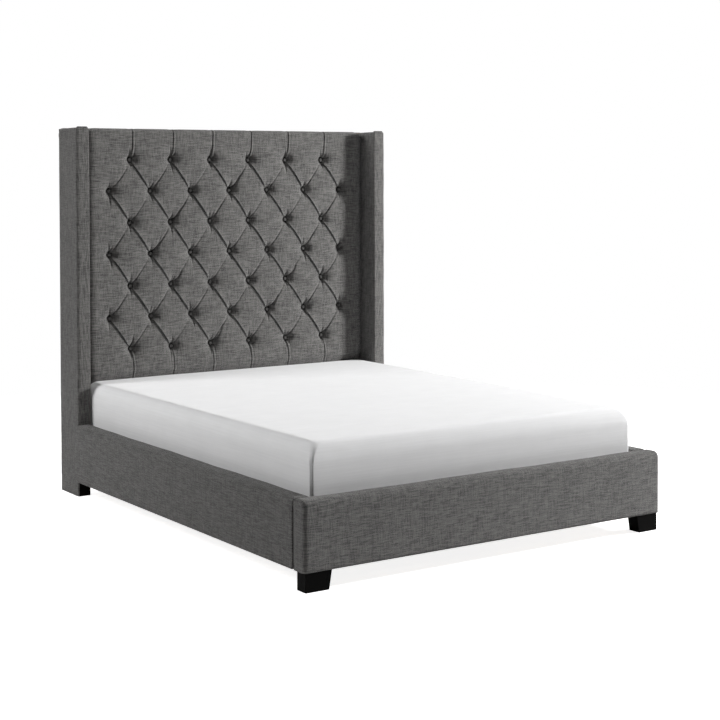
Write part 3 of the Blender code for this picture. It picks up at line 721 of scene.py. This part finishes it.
def scatter_points(lines):
    """Points over the flat cloth, close together along the pleats and round the buttons."""
    taken = {}
    kept = []
    cell = 0.004

    def add(x, t, room):
        if not (-HALF + 0.0006 < x < HALF - 0.0006 and 0.0015 < t < CLOTH_LENGTH - 0.0015):
            return
        key = (int(x // cell), int(t // cell))
        for i in (-1, 0, 1):
            for j in (-1, 0, 1):
                for px, pt in taken.get((key[0] + i, key[1] + j), ()):
                    if (px - x) ** 2 + (pt - t) ** 2 < room * room:
                        return
        taken.setdefault(key, []).append((x, t))
        kept.append((x, t))

    fine_pitch = 0.0045
    for x, z, _ in BUTTONS:
        t = z - PAD_FLOOR
        add(x, t, 0.001)
        for radius in RINGS_ROUND_BUTTON:
            count = max(8, int(2 * math.pi * radius / max(0.0028, radius * 0.16)))
            for i in range(count):
                turn = 2 * math.pi * (i + 0.5 * (radius > 0.01)) / count
                add(x + radius * math.cos(turn), t + radius * math.sin(turn), 0.0011)
    for kind, start, end, _, bow in lines:
        start, end = np.array(start), np.array(end)
        length = float(np.hypot(*(end - start)))
        direction = (end - start) / length
        beside = np.array((-direction[1], direction[0]))
        count = max(3, int(length / fine_pitch))
        for offset in ROWS_BESIDE[kind]:
            for i in range(count + 1):
                share = i / count
                at = start + direction * length * share + beside * (offset + bow * 4 * share * (1 - share))
                add(at[0], at[1], 0.00095)
    pitch = 0.008
    for step in ROWS_AT_EDGE:
        for i in range(int(CLOTH_LENGTH / pitch)):
            for side in (-1, 1):
                add(side * (HALF - step), pitch / 2 + i * pitch, 0.0007)
    for j in range(int(CLOTH_LENGTH / (pitch * 0.866)) + 1):
        for i in range(int(2 * HALF / pitch) + 1):
            add(-HALF + (i + 0.5 * (j % 2)) * pitch, j * pitch * 0.866, 0.0042)
    return kept


def panel_rim():
    """The cloth's outline, anticlockwise, as (x, t) points."""
    across = np.linspace(-HALF, HALF, 257)
    up = np.linspace(0, CLOTH_LENGTH, 241)
    rim = [(x, 0.0) for x in across[:-1]]
    rim += [(HALF, t) for t in up[:-1]]
    rim += [(x, CLOTH_LENGTH) for x in across[:0:-1]]
    rim += [(-HALF, t) for t in up[:0:-1]]
    return rim


def triangles(points, rim_count):
    """Faces over the points, whose first rim_count are the outline in order."""
    edges = [(i, (i + 1) % rim_count) for i in range(rim_count)]
    found = geometry.delaunay_2d_cdt([Vector(p) for p in points], edges, [], 1, 1e-7, False)
    return [tuple(v.xy[:]) if hasattr(v, "xy") else tuple(v) for v in found[0]], found[2]


def make_panel():
    """The tufted pad: its shown skin, walls round the rim and a plain back against the board."""
    draw = random.Random(11)
    lines = tufting_lines(draw)
    rim = panel_rim()
    flat, faces = triangles(rim + scatter_points(lines), len(rim))
    flat = np.array(flat)
    deep, pull = tufting_depth(flat, lines)
    y, z, normal_y, normal_z = base_surface(flat[:, 1])
    shown = np.column_stack([flat[:, 0] + pull[:, 0], y - normal_y * deep, z - normal_z * deep])
    front = normal_z < 0.01
    shown[:, 2] += np.where(front, pull[:, 1], 0)
    wave = ripples(np.column_stack([flat, 0 * y]), 9.0, 0.0012, 1)
    shown[:, 1] += np.where(front, np.abs(wave), 0)
    shown[:, 0] = np.clip(shown[:, 0], -HALF, HALF)
    rear_limit = np.where(shown[:, 2] < board_high.z, PAD_REAR - 0.002, PAD_BACK_EDGE)
    shown[:, 1] = np.minimum(shown[:, 1], rear_limit)
    rim_count = len(rim)
    inner_y, inner_z, _, _ = base_surface(flat[:rim_count, 1])
    corner = flat[:rim_count, 1] > FRONT_LENGTH
    rear_y = np.where(corner, np.maximum(inner_y, PAD_REAR), PAD_REAR)
    rear_z = np.minimum(np.where(corner, PAD_REAR_TOP, inner_z), PAD_REAR_TOP)
    rear = np.column_stack([flat[:rim_count, 0], rear_y, rear_z])
    points = list(map(tuple, shown)) + list(map(tuple, rear))
    total = len(shown)
    walls = [
        (total + i, total + (i + 1) % rim_count, (i + 1) % rim_count, i) for i in range(rim_count)
    ]
    _, back_faces = triangles([tuple(p) for p in flat[:rim_count]], rim_count)
    backs = [tuple(total + i for i in reversed(face)) for face in back_faces]
    cloth = np.vstack([flat + pull * 0.5, flat[:rim_count]])
    panel = make_piece("tufted_panel", points, list(faces) + walls + backs, cloth, LINEN)
    settle(panel, ["tufted_pad"])


def lathe(rings, sides, wobble):
    """Points and faces of rings of (radius, depth), closed at both ends, facing -Y."""
    points, faces = [], []
    for index, (radius, depth) in enumerate(rings):
        for i in range(sides):
            turn = 2 * math.pi * i / sides
            reach = radius + wobble(index, turn)
            points.append((reach * math.cos(turn), depth, reach * math.sin(turn)))
    for index in range(len(rings) - 1):
        for i in range(sides):
            j = (i + 1) % sides
            a, b = index * sides, (index + 1) * sides
            faces.append((a + i, b + i, b + j, a + j))
    faces.append(tuple(range(sides)))
    faces.append(tuple((len(rings) - 1) * sides + i for i in reversed(range(sides))))
    return points, faces


def make_buttons():
    """Covered buttons: a domed face with the cloth gathered round its rim and tucked behind."""
    rings = [
        (0.0012, 0.0000),
        (0.0035, 0.0002),
        (0.0055, 0.0007),
        (0.0072, 0.0015),
        (0.0085, 0.0028),
        (0.0093, 0.0043),
        (0.0091, 0.0057),
        (0.0080, 0.0068),
        (0.0050, 0.0073),
        (0.0021, 0.0074),
        (0.0018, 0.0280),
    ]

    def gathers(index, turn):
        if index < 4 or index > 8:
            return 0.0
        return 0.00022 * math.sin(16 * turn) * (index - 3) / 4

    shape, shape_faces = lathe(rings, 32, gathers)
    for row in range(ROWS):
        points, faces, cloth = [], [], []
        for x in row_buttons(row):
            start = len(points)
            points += [(x + p[0], BUTTON_FRONT + p[1], row_middles[row] + p[2]) for p in shape]
            cloth += [(x * 1.7 + p[0], row_middles[row] + p[2] + p[1]) for p in shape]
            faces += [tuple(start + i for i in face) for face in shape_faces]
        # Their cloth is the darkened button linen: painted shade.
        buttons = make_piece(f"covered_buttons_{row + 1}", points, faces, cloth, SHADED_BUTTON_LINEN)
        settle(buttons, [f"button_row_{row + 1}"])


# Padded covers, each a sleeve over a board.


def sleeve_profile(width, depth, first_radius, second_radius, pitch):
    """The (across, deep) points and normals of a U: up one wall, over the closed end and down the other."""

    def wall(length):
        count = max(2, int(length / pitch))
        return [i / count for i in range(count)]

    points = []
    rises = wall(depth - first_radius)
    for share in rises:
        points.append((0.0, share * (depth - first_radius), -1.0, 0.0))
    steps = 6
    for i in range(steps + 1):
        turn = math.pi / 2 * i / steps
        points.append(
            (
                first_radius * (1 - math.cos(turn)),
                depth - first_radius * (1 - math.sin(turn)),
                -math.cos(turn),
                math.sin(turn),
            )
        )
    middle = width - first_radius - second_radius
    count = max(4, int(middle / pitch / 2) * 2)
    for i in range(1, count):
        points.append((first_radius + middle * i / count, depth, 0.0, 1.0))
    for i in range(steps + 1):
        turn = math.pi / 2 * (1 - i / steps)
        points.append(
            (
                width - second_radius * (1 - math.cos(turn)),
                depth - second_radius * (1 - math.sin(turn)),
                math.cos(turn),
                math.sin(turn),
            )
        )
    for share in rises[::-1]:
        points.append((width, share * (depth - second_radius), 1.0, 0.0))
    return np.array(points)


def sleeve(name, width, depth, span, radii, ends, pitch, put_at, shape, material=LINEN, keep=None):
    """A cover over a board. span is (low, high) along it, ends the rounding at each end, 0 for open.

    put_at turns (across, deep, along) arrays into X, Y, Z. shape moves a point outwards along its normal.
    keep, given a face's middle as (across, along), says whether the face stays.
    """
    profile = sleeve_profile(width, depth, radii[0], radii[1], pitch)
    count = len(profile)
    arc = np.concatenate([[0], np.cumsum(np.hypot(*np.diff(profile[:, :2], axis=0).T))])
    low, high = span
    stations = []
    if ends[0]:
        stations += [low + ends[0] * (1 - math.cos(a)) for a in np.linspace(0, math.pi / 2, 5)[:-1]]
    first, last = low + ends[0], high - ends[1]
    inside = max(2, int((last - first) / pitch))
    stations += list(np.linspace(first, last, inside + 1))
    if ends[1]:
        stations += [high - ends[1] * (1 - math.cos(a)) for a in np.linspace(math.pi / 2, 0, 5)[1:]]
    across, deep, along, cloth = [], [], [], []
    for station in stations:
        inset = 0.0
        for edge, radius in ((station - low, ends[0]), (high - station, ends[1])):
            if radius and edge < radius:
                inset = radius - math.sqrt(max(0.0, radius**2 - (radius - edge) ** 2))
        points = profile[:, :2] - profile[:, 2:] * inset
        points = points + profile[:, 2:] * shape(profile, station)[:, None]
        across += list(points[:, 0])
        deep += list(np.maximum(points[:, 1], 0))
        along += [station] * count
        cloth += [(station, a) for a in arc]
    faces = []
    for i in range(len(stations) - 1):
        for j in range(count - 1):
            a = i * count + j
            faces.append((a, a + 1, a + count + 1, a + count))
    half = count // 2
    for which in (0, 1):
        if not ends[which]:
            continue
        ring = [(0 if which == 0 else len(stations) - 1) * count + j for j in range(count)]
        bridge = 6
        columns = []
        for j in range(half):
            a, b = ring[j], ring[count - 1 - j]
            row = [a]
            for k in range(1, bridge):
                share = k / bridge
                across.append(across[a] + (across[b] - across[a]) * share)
                deep.append(deep[a] + (deep[b] - deep[a]) * share)
                along.append(along[a])
                step = abs(across[-1] - across[a])
                cloth.append((cloth[a][0] + (step if which else -step), cloth[a][1]))
                row.append(len(across) - 1)
            row.append(b)
            columns.append(row)
        for j in range(half - 1):
            for k in range(bridge):
                quad = (columns[j][k], columns[j][k + 1], columns[j + 1][k + 1], columns[j + 1][k])
                faces.append(quad if which == 0 else quad[::-1])
        if count % 2:
            tip = ring[half]
            for k in range(bridge):
                face = (columns[-1][k], columns[-1][k + 1], tip)
                faces.append(face if which == 0 else face[::-1])
    across, deep, along = map(np.array, (across, deep, along))
    x, y, z = put_at(across, deep, along)
    points = np.column_stack([x, y, z])
    if keep:
        faces = [f for f in faces if keep(across[list(f)].mean(), along[list(f)].mean())]
    return make_piece(name, points, faces, cloth, material)


def thicken(cover):
    """Gives the cover its cloth and wadding, inwards from the face that shows."""
    mesh = cover.data
    middle = sum((v.co for v in mesh.vertices), Vector()) / len(mesh.vertices)
    outward = sum((p.center - middle).dot(p.normal) * p.area for p in mesh.polygons)
    if outward < 0:
        mesh.flip_normals()
    shell = cover.modifiers.new("cloth and wadding", "SOLIDIFY")
    shell.thickness = COVER_THICKNESS
    shell.offset = -1.0
    shell.use_even_offset = False


def wing_cover(side_name, side):
    """A wing's cover: a sleeve over its front edge, with a seam down the outer front corner."""
    low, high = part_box(f"wing_cover_{side_name}")
    inner = min(abs(low.x), abs(high.x))
    outer = max(abs(low.x), abs(high.x))
    depth = high.y - low.y
    foot_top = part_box(f"side_rail_cover_{side_name}")[0].z
    seam_at = outer - inner - 0.004

    def put_at(across, deep, along):
        near_top = ease((along - high.z + 0.050) / 0.050)
        back = np.clip(1 - deep / 0.016, 0, 1)
        inward = np.clip(1 - across / 0.012, 0, 1)
        drop = 0.0030 * (1 - deep / depth) + 0.008 * (1 - np.sqrt(1 - back**2))
        drop = drop + 0.009 * (1 - np.sqrt(1 - inward**2))
        return side * (inner + across), high.y - deep, along - near_top * drop

    def shape(profile, station):
        across, deep = profile[:, 0], profile[:, 1]
        width = outer - inner
        out = np.where(
            deep > depth - 0.001, 0.0004 * (1 - (2 * across / width - 1) ** 2), 0.0
        )
        seam = np.exp(-(((across - seam_at) / 0.0035) ** 2)) * (deep > depth - 0.012)
        out = out - 0.0018 * seam
        gather = 0.0006 * math.sin(station * 41) + 0.0005 * math.sin(station * 17 + 2)
        high_up = math.exp(-(((high.z - 0.030 - station) / 0.024) ** 2))
        out = out + 0.0036 * high_up * (across > width - 0.001) * np.clip(1.2 - deep / 0.12, 0, 1)
        return out - 0.0008 + np.where(across > width / 2, gather * 0.6, gather * 0.2)

    def keep(across, along):
        return along > foot_top or across > outer - inner - 0.006

    cover = sleeve(
        f"wing_upholstery_{side_name}",
        outer - inner,
        depth,
        (low.z, high.z),
        (0.006, 0.008),
        (0.0, 0.010),
        0.008,
        put_at,
        shape,
        WING_LINEN,
        keep,
    )
    thicken(cover)
    settle(cover, [f"wing_cover_{side_name}"])


def rail_cover(side_name, side):
    """A side rail's cover: a sleeve over the top edge, a little uneven from stretching by hand."""
    low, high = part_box(f"side_rail_cover_{side_name}")
    inner = min(abs(low.x), abs(high.x))
    outer = max(abs(low.x), abs(high.x))

    def put_at(across, deep, along):
        return side * (inner + across), along, low.z + deep

    def shape(profile, station):
        sway = 0.0007 * math.sin(station * 9 + 1) + 0.0005 * math.sin(station * 23)
        return -0.0009 + sway * (profile[:, 1] > 0.03)

    cover = sleeve(
        f"rail_upholstery_{side_name}",
        outer - inner,
        high.z - low.z,
        (low.y, high.y),
        (0.018, 0.020),
        (0.004, 0.004),
        0.010,
        put_at,
        shape,
    )
    thicken(cover)
    settle(cover, [f"side_rail_cover_{side_name}"])


def footboard_cover():
    """The footboard's cover, rounded more at the front edge than at the back."""
    low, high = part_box("footboard_cover")

    def put_at(across, deep, along):
        return along, low.y + across, low.z + deep

    def shape(profile, station):
        sway = 0.0008 * math.sin(station * 8 + 2) + 0.0005 * math.sin(station * 21)
        return -0.0010 + sway * (profile[:, 1] > 0.03)

    cover = sleeve(
        "footboard_upholstery",
        high.y - low.y,
        high.z - low.z,
        (low.x, high.x),
        (0.027, 0.020),
        (0.014, 0.014),
        0.010,
        put_at,
        shape,
    )
    thicken(cover)
    settle(cover, ["footboard_cover"])


# The back of the headboard.


def back_cover():
    """The rear panel: cloth stretched over a board, its edge rolled, with a seam round it."""
    low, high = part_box("back_panel")
    columns, rows = 120, 110
    edge = 0.012
    seam_in, seam_width = 0.030, 0.004
    across = low.x + (high.x - low.x) * (0.5 - 0.5 * np.cos(np.linspace(0, math.pi, columns + 1)))
    up = low.z + (high.z - low.z) * (0.5 - 0.5 * np.cos(np.linspace(0, math.pi, rows + 1)))
    points, cloth = [], []
    for z in up:
        for x in across:
            near = min(x - low.x, high.x - x, z - low.z, high.z - z)
            q = min(1.0, near / edge)
            out = (high.y - low.y - 0.0012) * math.sqrt(max(0.0, 1 - (1 - q) ** 2))
            out += 0.0005 * noise.noise(Vector((x * 6, z * 6, 3.0)))
            seam = min(
                abs(abs(x) - (high.x - seam_in)), abs(z - (high.z - seam_in)), abs(z - (low.z + seam_in))
            )
            if near > seam_in - seam_width:
                out -= 0.0012 * math.exp(-((seam / seam_width) ** 2))
            drop = 0.005 * ease((abs(x) - 0.800) / 0.032) ** 2 * ease((z - high.z + 0.05) / 0.05)
            points.append((x, low.y + 0.0006 + max(0.0, out), z - drop))
            cloth.append((x, z))
    front = len(points)
    points += [(x, low.y + 0.0003, z) for x, _, z in points]
    cloth += [(x, z) for z in up for x in across]
    width = columns + 1
    faces = []
    for j in range(rows):
        for i in range(columns):
            a = j * width + i
            faces.append((a, a + width, a + width + 1, a + 1))
            faces.append(tuple(front + k for k in (a, a + 1, a + width + 1, a + width)))
    rim = list(range(width)) + [j * width + columns for j in range(1, rows + 1)]
    rim += [rows * width + i for i in range(columns - 1, -1, -1)]
    rim += [j * width for j in range(rows - 1, 0, -1)]
    for a, b in zip(rim, rim[1:] + rim[:1]):
        faces.append((a, b, front + b, front + a))
    cover = make_piece("rear_panel_cover", points, faces, cloth, LINEN)
    settle(cover, ["back_panel"])


# Bedding.

TOP_EDGE_ROLL = 0.070
BASE_ROLL = 0.03
CORNER_SEAM = 0.0026
CROWN = 0.0015


def block_skin(half, radius_top, hem, pitch, shape, closed_below, seam=0.0):
    """The skin of a soft block about the origin, from its top down to hem: points, faces and cloth places.

    Its upright corners are rounder near the top than lower down, and a seam runs down each of them.
    """
    hx, hy, hz = half
    corners = ((1, 1, 0), (-1, 1, 90), (-1, -1, 180), (1, -1, 270))
    per_corner = 20
    ring = []
    for index, (cx, cy, start) in enumerate(corners):
        for i in range(per_corner + 1):
            turn = math.radians(start + 90 * i / per_corner)
            along = i / per_corner if cx < 0 else 1 - i / per_corner
            ring.append((cx, cy, math.cos(turn), math.sin(turn), along if cy < 0 else 1 - along))
        after = corners[(index + 1) % 4]
        normal = ring[-1][2:4]
        steps = int(2 * (hy if cx == after[0] else hx) / pitch)
        for k in range(1, steps):
            share = k / steps
            ring.append((cx + (after[0] - cx) * share, cy + (after[1] - cy) * share, *normal, -1.0))
    count = len(ring)
    levels = [
        (hz - 1.1 * radius_top * (1 - math.sin(a)), 0.68 * radius_top * (1 - math.cos(a)))
        for a in np.linspace(math.pi / 2, 0, 14)
    ]
    edge = levels[-1][0]
    steps = max(1, int((edge - hem) / pitch))
    levels += [(edge + (hem - edge) * k / steps, 0.0) for k in range(1, steps + 1)]
    if closed_below:
        turns = np.linspace(0, math.pi / 2, 7)[1:]
        levels += [(hem - BASE_ROLL * math.sin(a), BASE_ROLL * (1 - math.cos(a))) for a in turns]
    points, cloth, faces = [], [], []
    for z, inset in levels:
        tight = 0.012 + 0.040 * inset / radius_top
        for cx, cy, nx, ny, along in ring:
            inset_y = inset * (0.56 - 0.44 * cy)
            sink = 0.0
            if along >= 0:
                arc = tight * math.pi / 2
                sink = math.exp(-((((along - 0.74) * arc) / 0.0014) ** 2))
                sink += 0.25 * math.exp(-((((along - 0.36) * arc) / 0.0022) ** 2))
                sink *= seam * float(ease((hz - 0.038 - z) / 0.012))
            x = cx * (hx - inset - tight) + nx * (tight - sink)
            y = cy * (hy - inset_y - tight) + ny * (tight - sink)
            points.append((x, y, z))
            cloth.append((y, z + hx) if abs(nx) > abs(ny) else (x, z + hy))
    for i in range(len(levels) - 1):
        for k in range(count):
            j = (k + 1) % count
            faces.append((i * count + k, (i + 1) * count + k, (i + 1) * count + j, i * count + j))
    for level in (0, len(levels) - 1)[: 2 if closed_below else 1]:
        start = level * count
        z = levels[level][0]
        rim = [points[start + k][:2] for k in range(count)]
        span_x = max(p[0] for p in rim) - pitch * 0.6
        first_y, last_y = min(p[1] for p in rim) + pitch * 0.6, max(p[1] for p in rim) - pitch * 0.6
        inner = [
            (x, y)
            for y in np.arange(first_y, last_y, pitch)
            for x in np.arange(-span_x, span_x, pitch)
            if abs(x) < span_x - 0.01 or first_y + 0.01 < y < last_y - 0.01
        ]
        flat, found = triangles(rim + inner, count)
        number = list(range(start, start + count))
        for x, y in flat[count:]:
            number.append(len(points))
            points.append((x, y, z))
            cloth.append((x, y))
        for face in found:
            turned = [number[k] for k in face]
            faces.append(tuple(turned if level == 0 else turned[::-1]))
    points = np.array(points)
    return points + shape(points), faces, np.array(cloth)


def make_bedding():
    """The mattress, and the fitted sheet that is stretched over it."""
    low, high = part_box("mattress")
    middle = (low + high) / 2
    half = tuple((high - low) / 2)

    def crown(points):
        x, y, z = points.T
        out = np.zeros_like(points)
        rise = np.clip((1 - (x / half[0]) ** 2) * (1 - (y / half[1]) ** 2), 0, 1)
        out[:, 2] = np.where(z > 0, CROWN * rise**0.5 - CROWN, 0.0)
        return out

    points, faces, cloth = block_skin(half, TOP_EDGE_ROLL, -half[2] + BASE_ROLL, 0.030, crown, True)
    core = make_piece("mattress_core", points + np.array(middle), faces, cloth, TICKING)
    settle(core, ["mattress"])

    sheet_half = tuple(h + INSET for h in half)
    hem = sheet_low.z - middle.z + 0.001

    def tension(points):
        x, y, z = points.T
        out = crown(points)
        corner_x = sheet_half[0] - np.abs(x)
        corner_y = sheet_half[1] - np.abs(y)
        near = np.hypot(corner_x, corner_y)
        pull = np.exp(-near / 0.16)
        ray = np.sin(np.arctan2(corner_y, corner_x) * 9.0 + 1.3)
        side = z < half[2] - 0.05
        push = 0.0011 * pull * ray
        out[:, 0] += np.where(side, push * np.sign(x) * (corner_x < 0.03), 0)
        out[:, 1] += np.where(side, push * np.sign(y) * (corner_y < 0.03), 0)
        slack = ripples(points, 2.2, 0.0014, 1)
        out[:, 2] += np.where(side, 0, slack)
        return out

    points, faces, cloth = block_skin(
        sheet_half, TOP_EDGE_ROLL, hem, 0.016, tension, False, CORNER_SEAM
    )
    sheet = make_piece("fitted_sheet_cover", points + np.array(middle), faces, cloth, WHITE_SHEET)
    shell = sheet.modifiers.new("cloth", "SOLIDIFY")
    shell.thickness = SHEET_THICKNESS
    shell.offset = 1.0
    settle(sheet, ["fitted_sheet"])


# Wood, steel and plastic keep the solids they came with, and get softened edges and finishes.

STIFF = {
    "black_wood": (BLACK_WOOD, 0.0022),
    "steel": (STEEL, 0.0006),
    "black_plastic": (PLASTIC, 0.0010),
    "plywood": (PLYWOOD, 0.0),
}


def dress_stiff_parts():
    """Gives each stiff solid its finish and softened edges, the wing cores most, to lie in their covers."""
    for name, node in nodes.items():
        slot = node.material_slots[0].material.name
        if slot == "pine":
            low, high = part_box(name)
            size = high - low
            material, softened = PINE[max(range(3), key=lambda axis: size[axis])], 0.0015
            if name.startswith("wing_core"):
                softened = 0.016
        elif slot in STIFF:
            material, softened = STIFF[slot]
        else:
            continue
        node.material_slots[0].material = material
        if softened:
            weld = node.modifiers.new("joined faces", "WELD")
            weld.merge_threshold = 0.00005
            bevel = node.modifiers.new("softened edges", "BEVEL")
            bevel.width = softened
            bevel.segments = 2
            bevel.limit_method = "ANGLE"
            bevel.angle_limit = math.radians(40)
            bevel.harden_normals = False


# Light, floor and camera.


def aim(obj, target):
    obj.rotation_mode = "QUATERNION"
    obj.rotation_quaternion = (Vector(target) - obj.location).to_track_quat("-Z", "Y")


def add_light(name, location, target, size, power):
    light = bpy.data.lights.new(name, "AREA")
    light.shape = "RECTANGLE"
    light.size, light.size_y = size
    light.energy = power
    obj = bpy.data.objects.new(name, light)
    bpy.context.scene.collection.objects.link(obj)
    obj.location = location
    aim(obj, target)


def light_studio():
    """Soft lights round the bed, and a surround that is bright to the camera and dim to everything else."""
    add_light("key softbox", (5.9, -2.3, 2.5), (0.2, 3.0, 2.0), (0.8, 0.8), 820)
    add_light("left softbox", (-4.5, 1.6, 3.4), (-0.8, 0.5, 1.2), (1.6, 2.0), 150)
    add_light("overhead softbox", (-0.6, -1.6, 5.2), (0.0, -0.2, 0.5), (2.4, 2.4), 64)
    add_light("rear softbox", (0.3, 5.6, 2.4), (0.0, 1.1, 0.9), (1.6, 1.6), 200)
    world = bpy.data.worlds.new("white studio")
    bpy.context.scene.world = world
    world.use_nodes = True
    tree = world.node_tree
    background = tree.nodes["Background"]
    background.inputs[0].default_value = (1.0, 1.0, 1.0, 1.0)
    seen = put(tree, "ShaderNodeLightPath").outputs["Is Camera Ray"]
    tree.links.new(stretch(tree, seen, 0.0, 1.0, 0.02, 1.0), background.inputs[1])


FLOOR_HALF = 12.0
FLOOR_GLOW = 0.86
FLOOR_FADE = (1.9, 4.2)


def lay_floor():
    """A pale floor, brightened for the camera, which fades away into the white all round."""
    corners = ((-1, -1), (1, -1), (1, 1), (-1, 1))
    points = [(x * FLOOR_HALF, y * FLOOR_HALF, 0) for x, y in corners]
    material, tree, shader = start_material("pale studio floor", Roughness=0.85, Specular_IOR_Level=0.2)
    where = body_place(tree)
    shade = stretch(tree, speckle(tree, where, 1.5, 3.0), 0.3, 0.7, 0.0, 1.0)
    lay_over(tree, shader, blend_colours(tree, shade, (0.90, 0.90, 0.90), (0.92, 0.92, 0.92)))
    seen = put(tree, "ShaderNodeLightPath").outputs["Is Camera Ray"]
    shader.inputs["Emission Color"].default_value = (1.0, 1.0, 1.0, 1.0)
    tree.links.new(calc(tree, "MULTIPLY", seen, FLOOR_GLOW), shader.inputs["Emission Strength"])
    away = put(tree, "ShaderNodeVectorMath", {0: where}, operation="LENGTH").outputs["Value"]
    tree.links.new(stretch(tree, away, *FLOOR_FADE, 1.0, 0.0), shader.inputs["Alpha"])
    floor = make_piece("studio_floor", points, [(0, 1, 2, 3)], None, material)


CAMERA_PLACE = (-3.65607, -5.88477, 1.49525)
CAMERA_YAW, CAMERA_DOWN = math.radians(36.122), math.radians(1.708)
CAMERA_LENS = 79.295
CAMERA_SHIFT = (-0.13746, -0.20207)


def set_camera():
    camera = bpy.data.cameras.new("camera")
    obj = bpy.data.objects.new("camera", camera)
    bpy.context.scene.collection.objects.link(obj)
    obj.location = CAMERA_PLACE
    level = math.cos(CAMERA_DOWN)
    way = Vector((math.sin(CAMERA_YAW) * level, math.cos(CAMERA_YAW) * level, -math.sin(CAMERA_DOWN)))
    aim(obj, obj.location + way)
    camera.sensor_width = 36.0
    camera.lens = CAMERA_LENS
    camera.shift_x, camera.shift_y = CAMERA_SHIFT
    camera.clip_end = 200.0
    bpy.context.scene.camera = obj


make_panel()
make_buttons()
for side_name, side in SIDES:
    wing_cover(side_name, side)
    rail_cover(side_name, side)
footboard_cover()
back_cover()
make_bedding()
dress_stiff_parts()
lay_floor()
light_studio()
set_camera()
bpy.context.scene.view_settings.view_transform = "Standard"

bpy.context.view_layer.update()
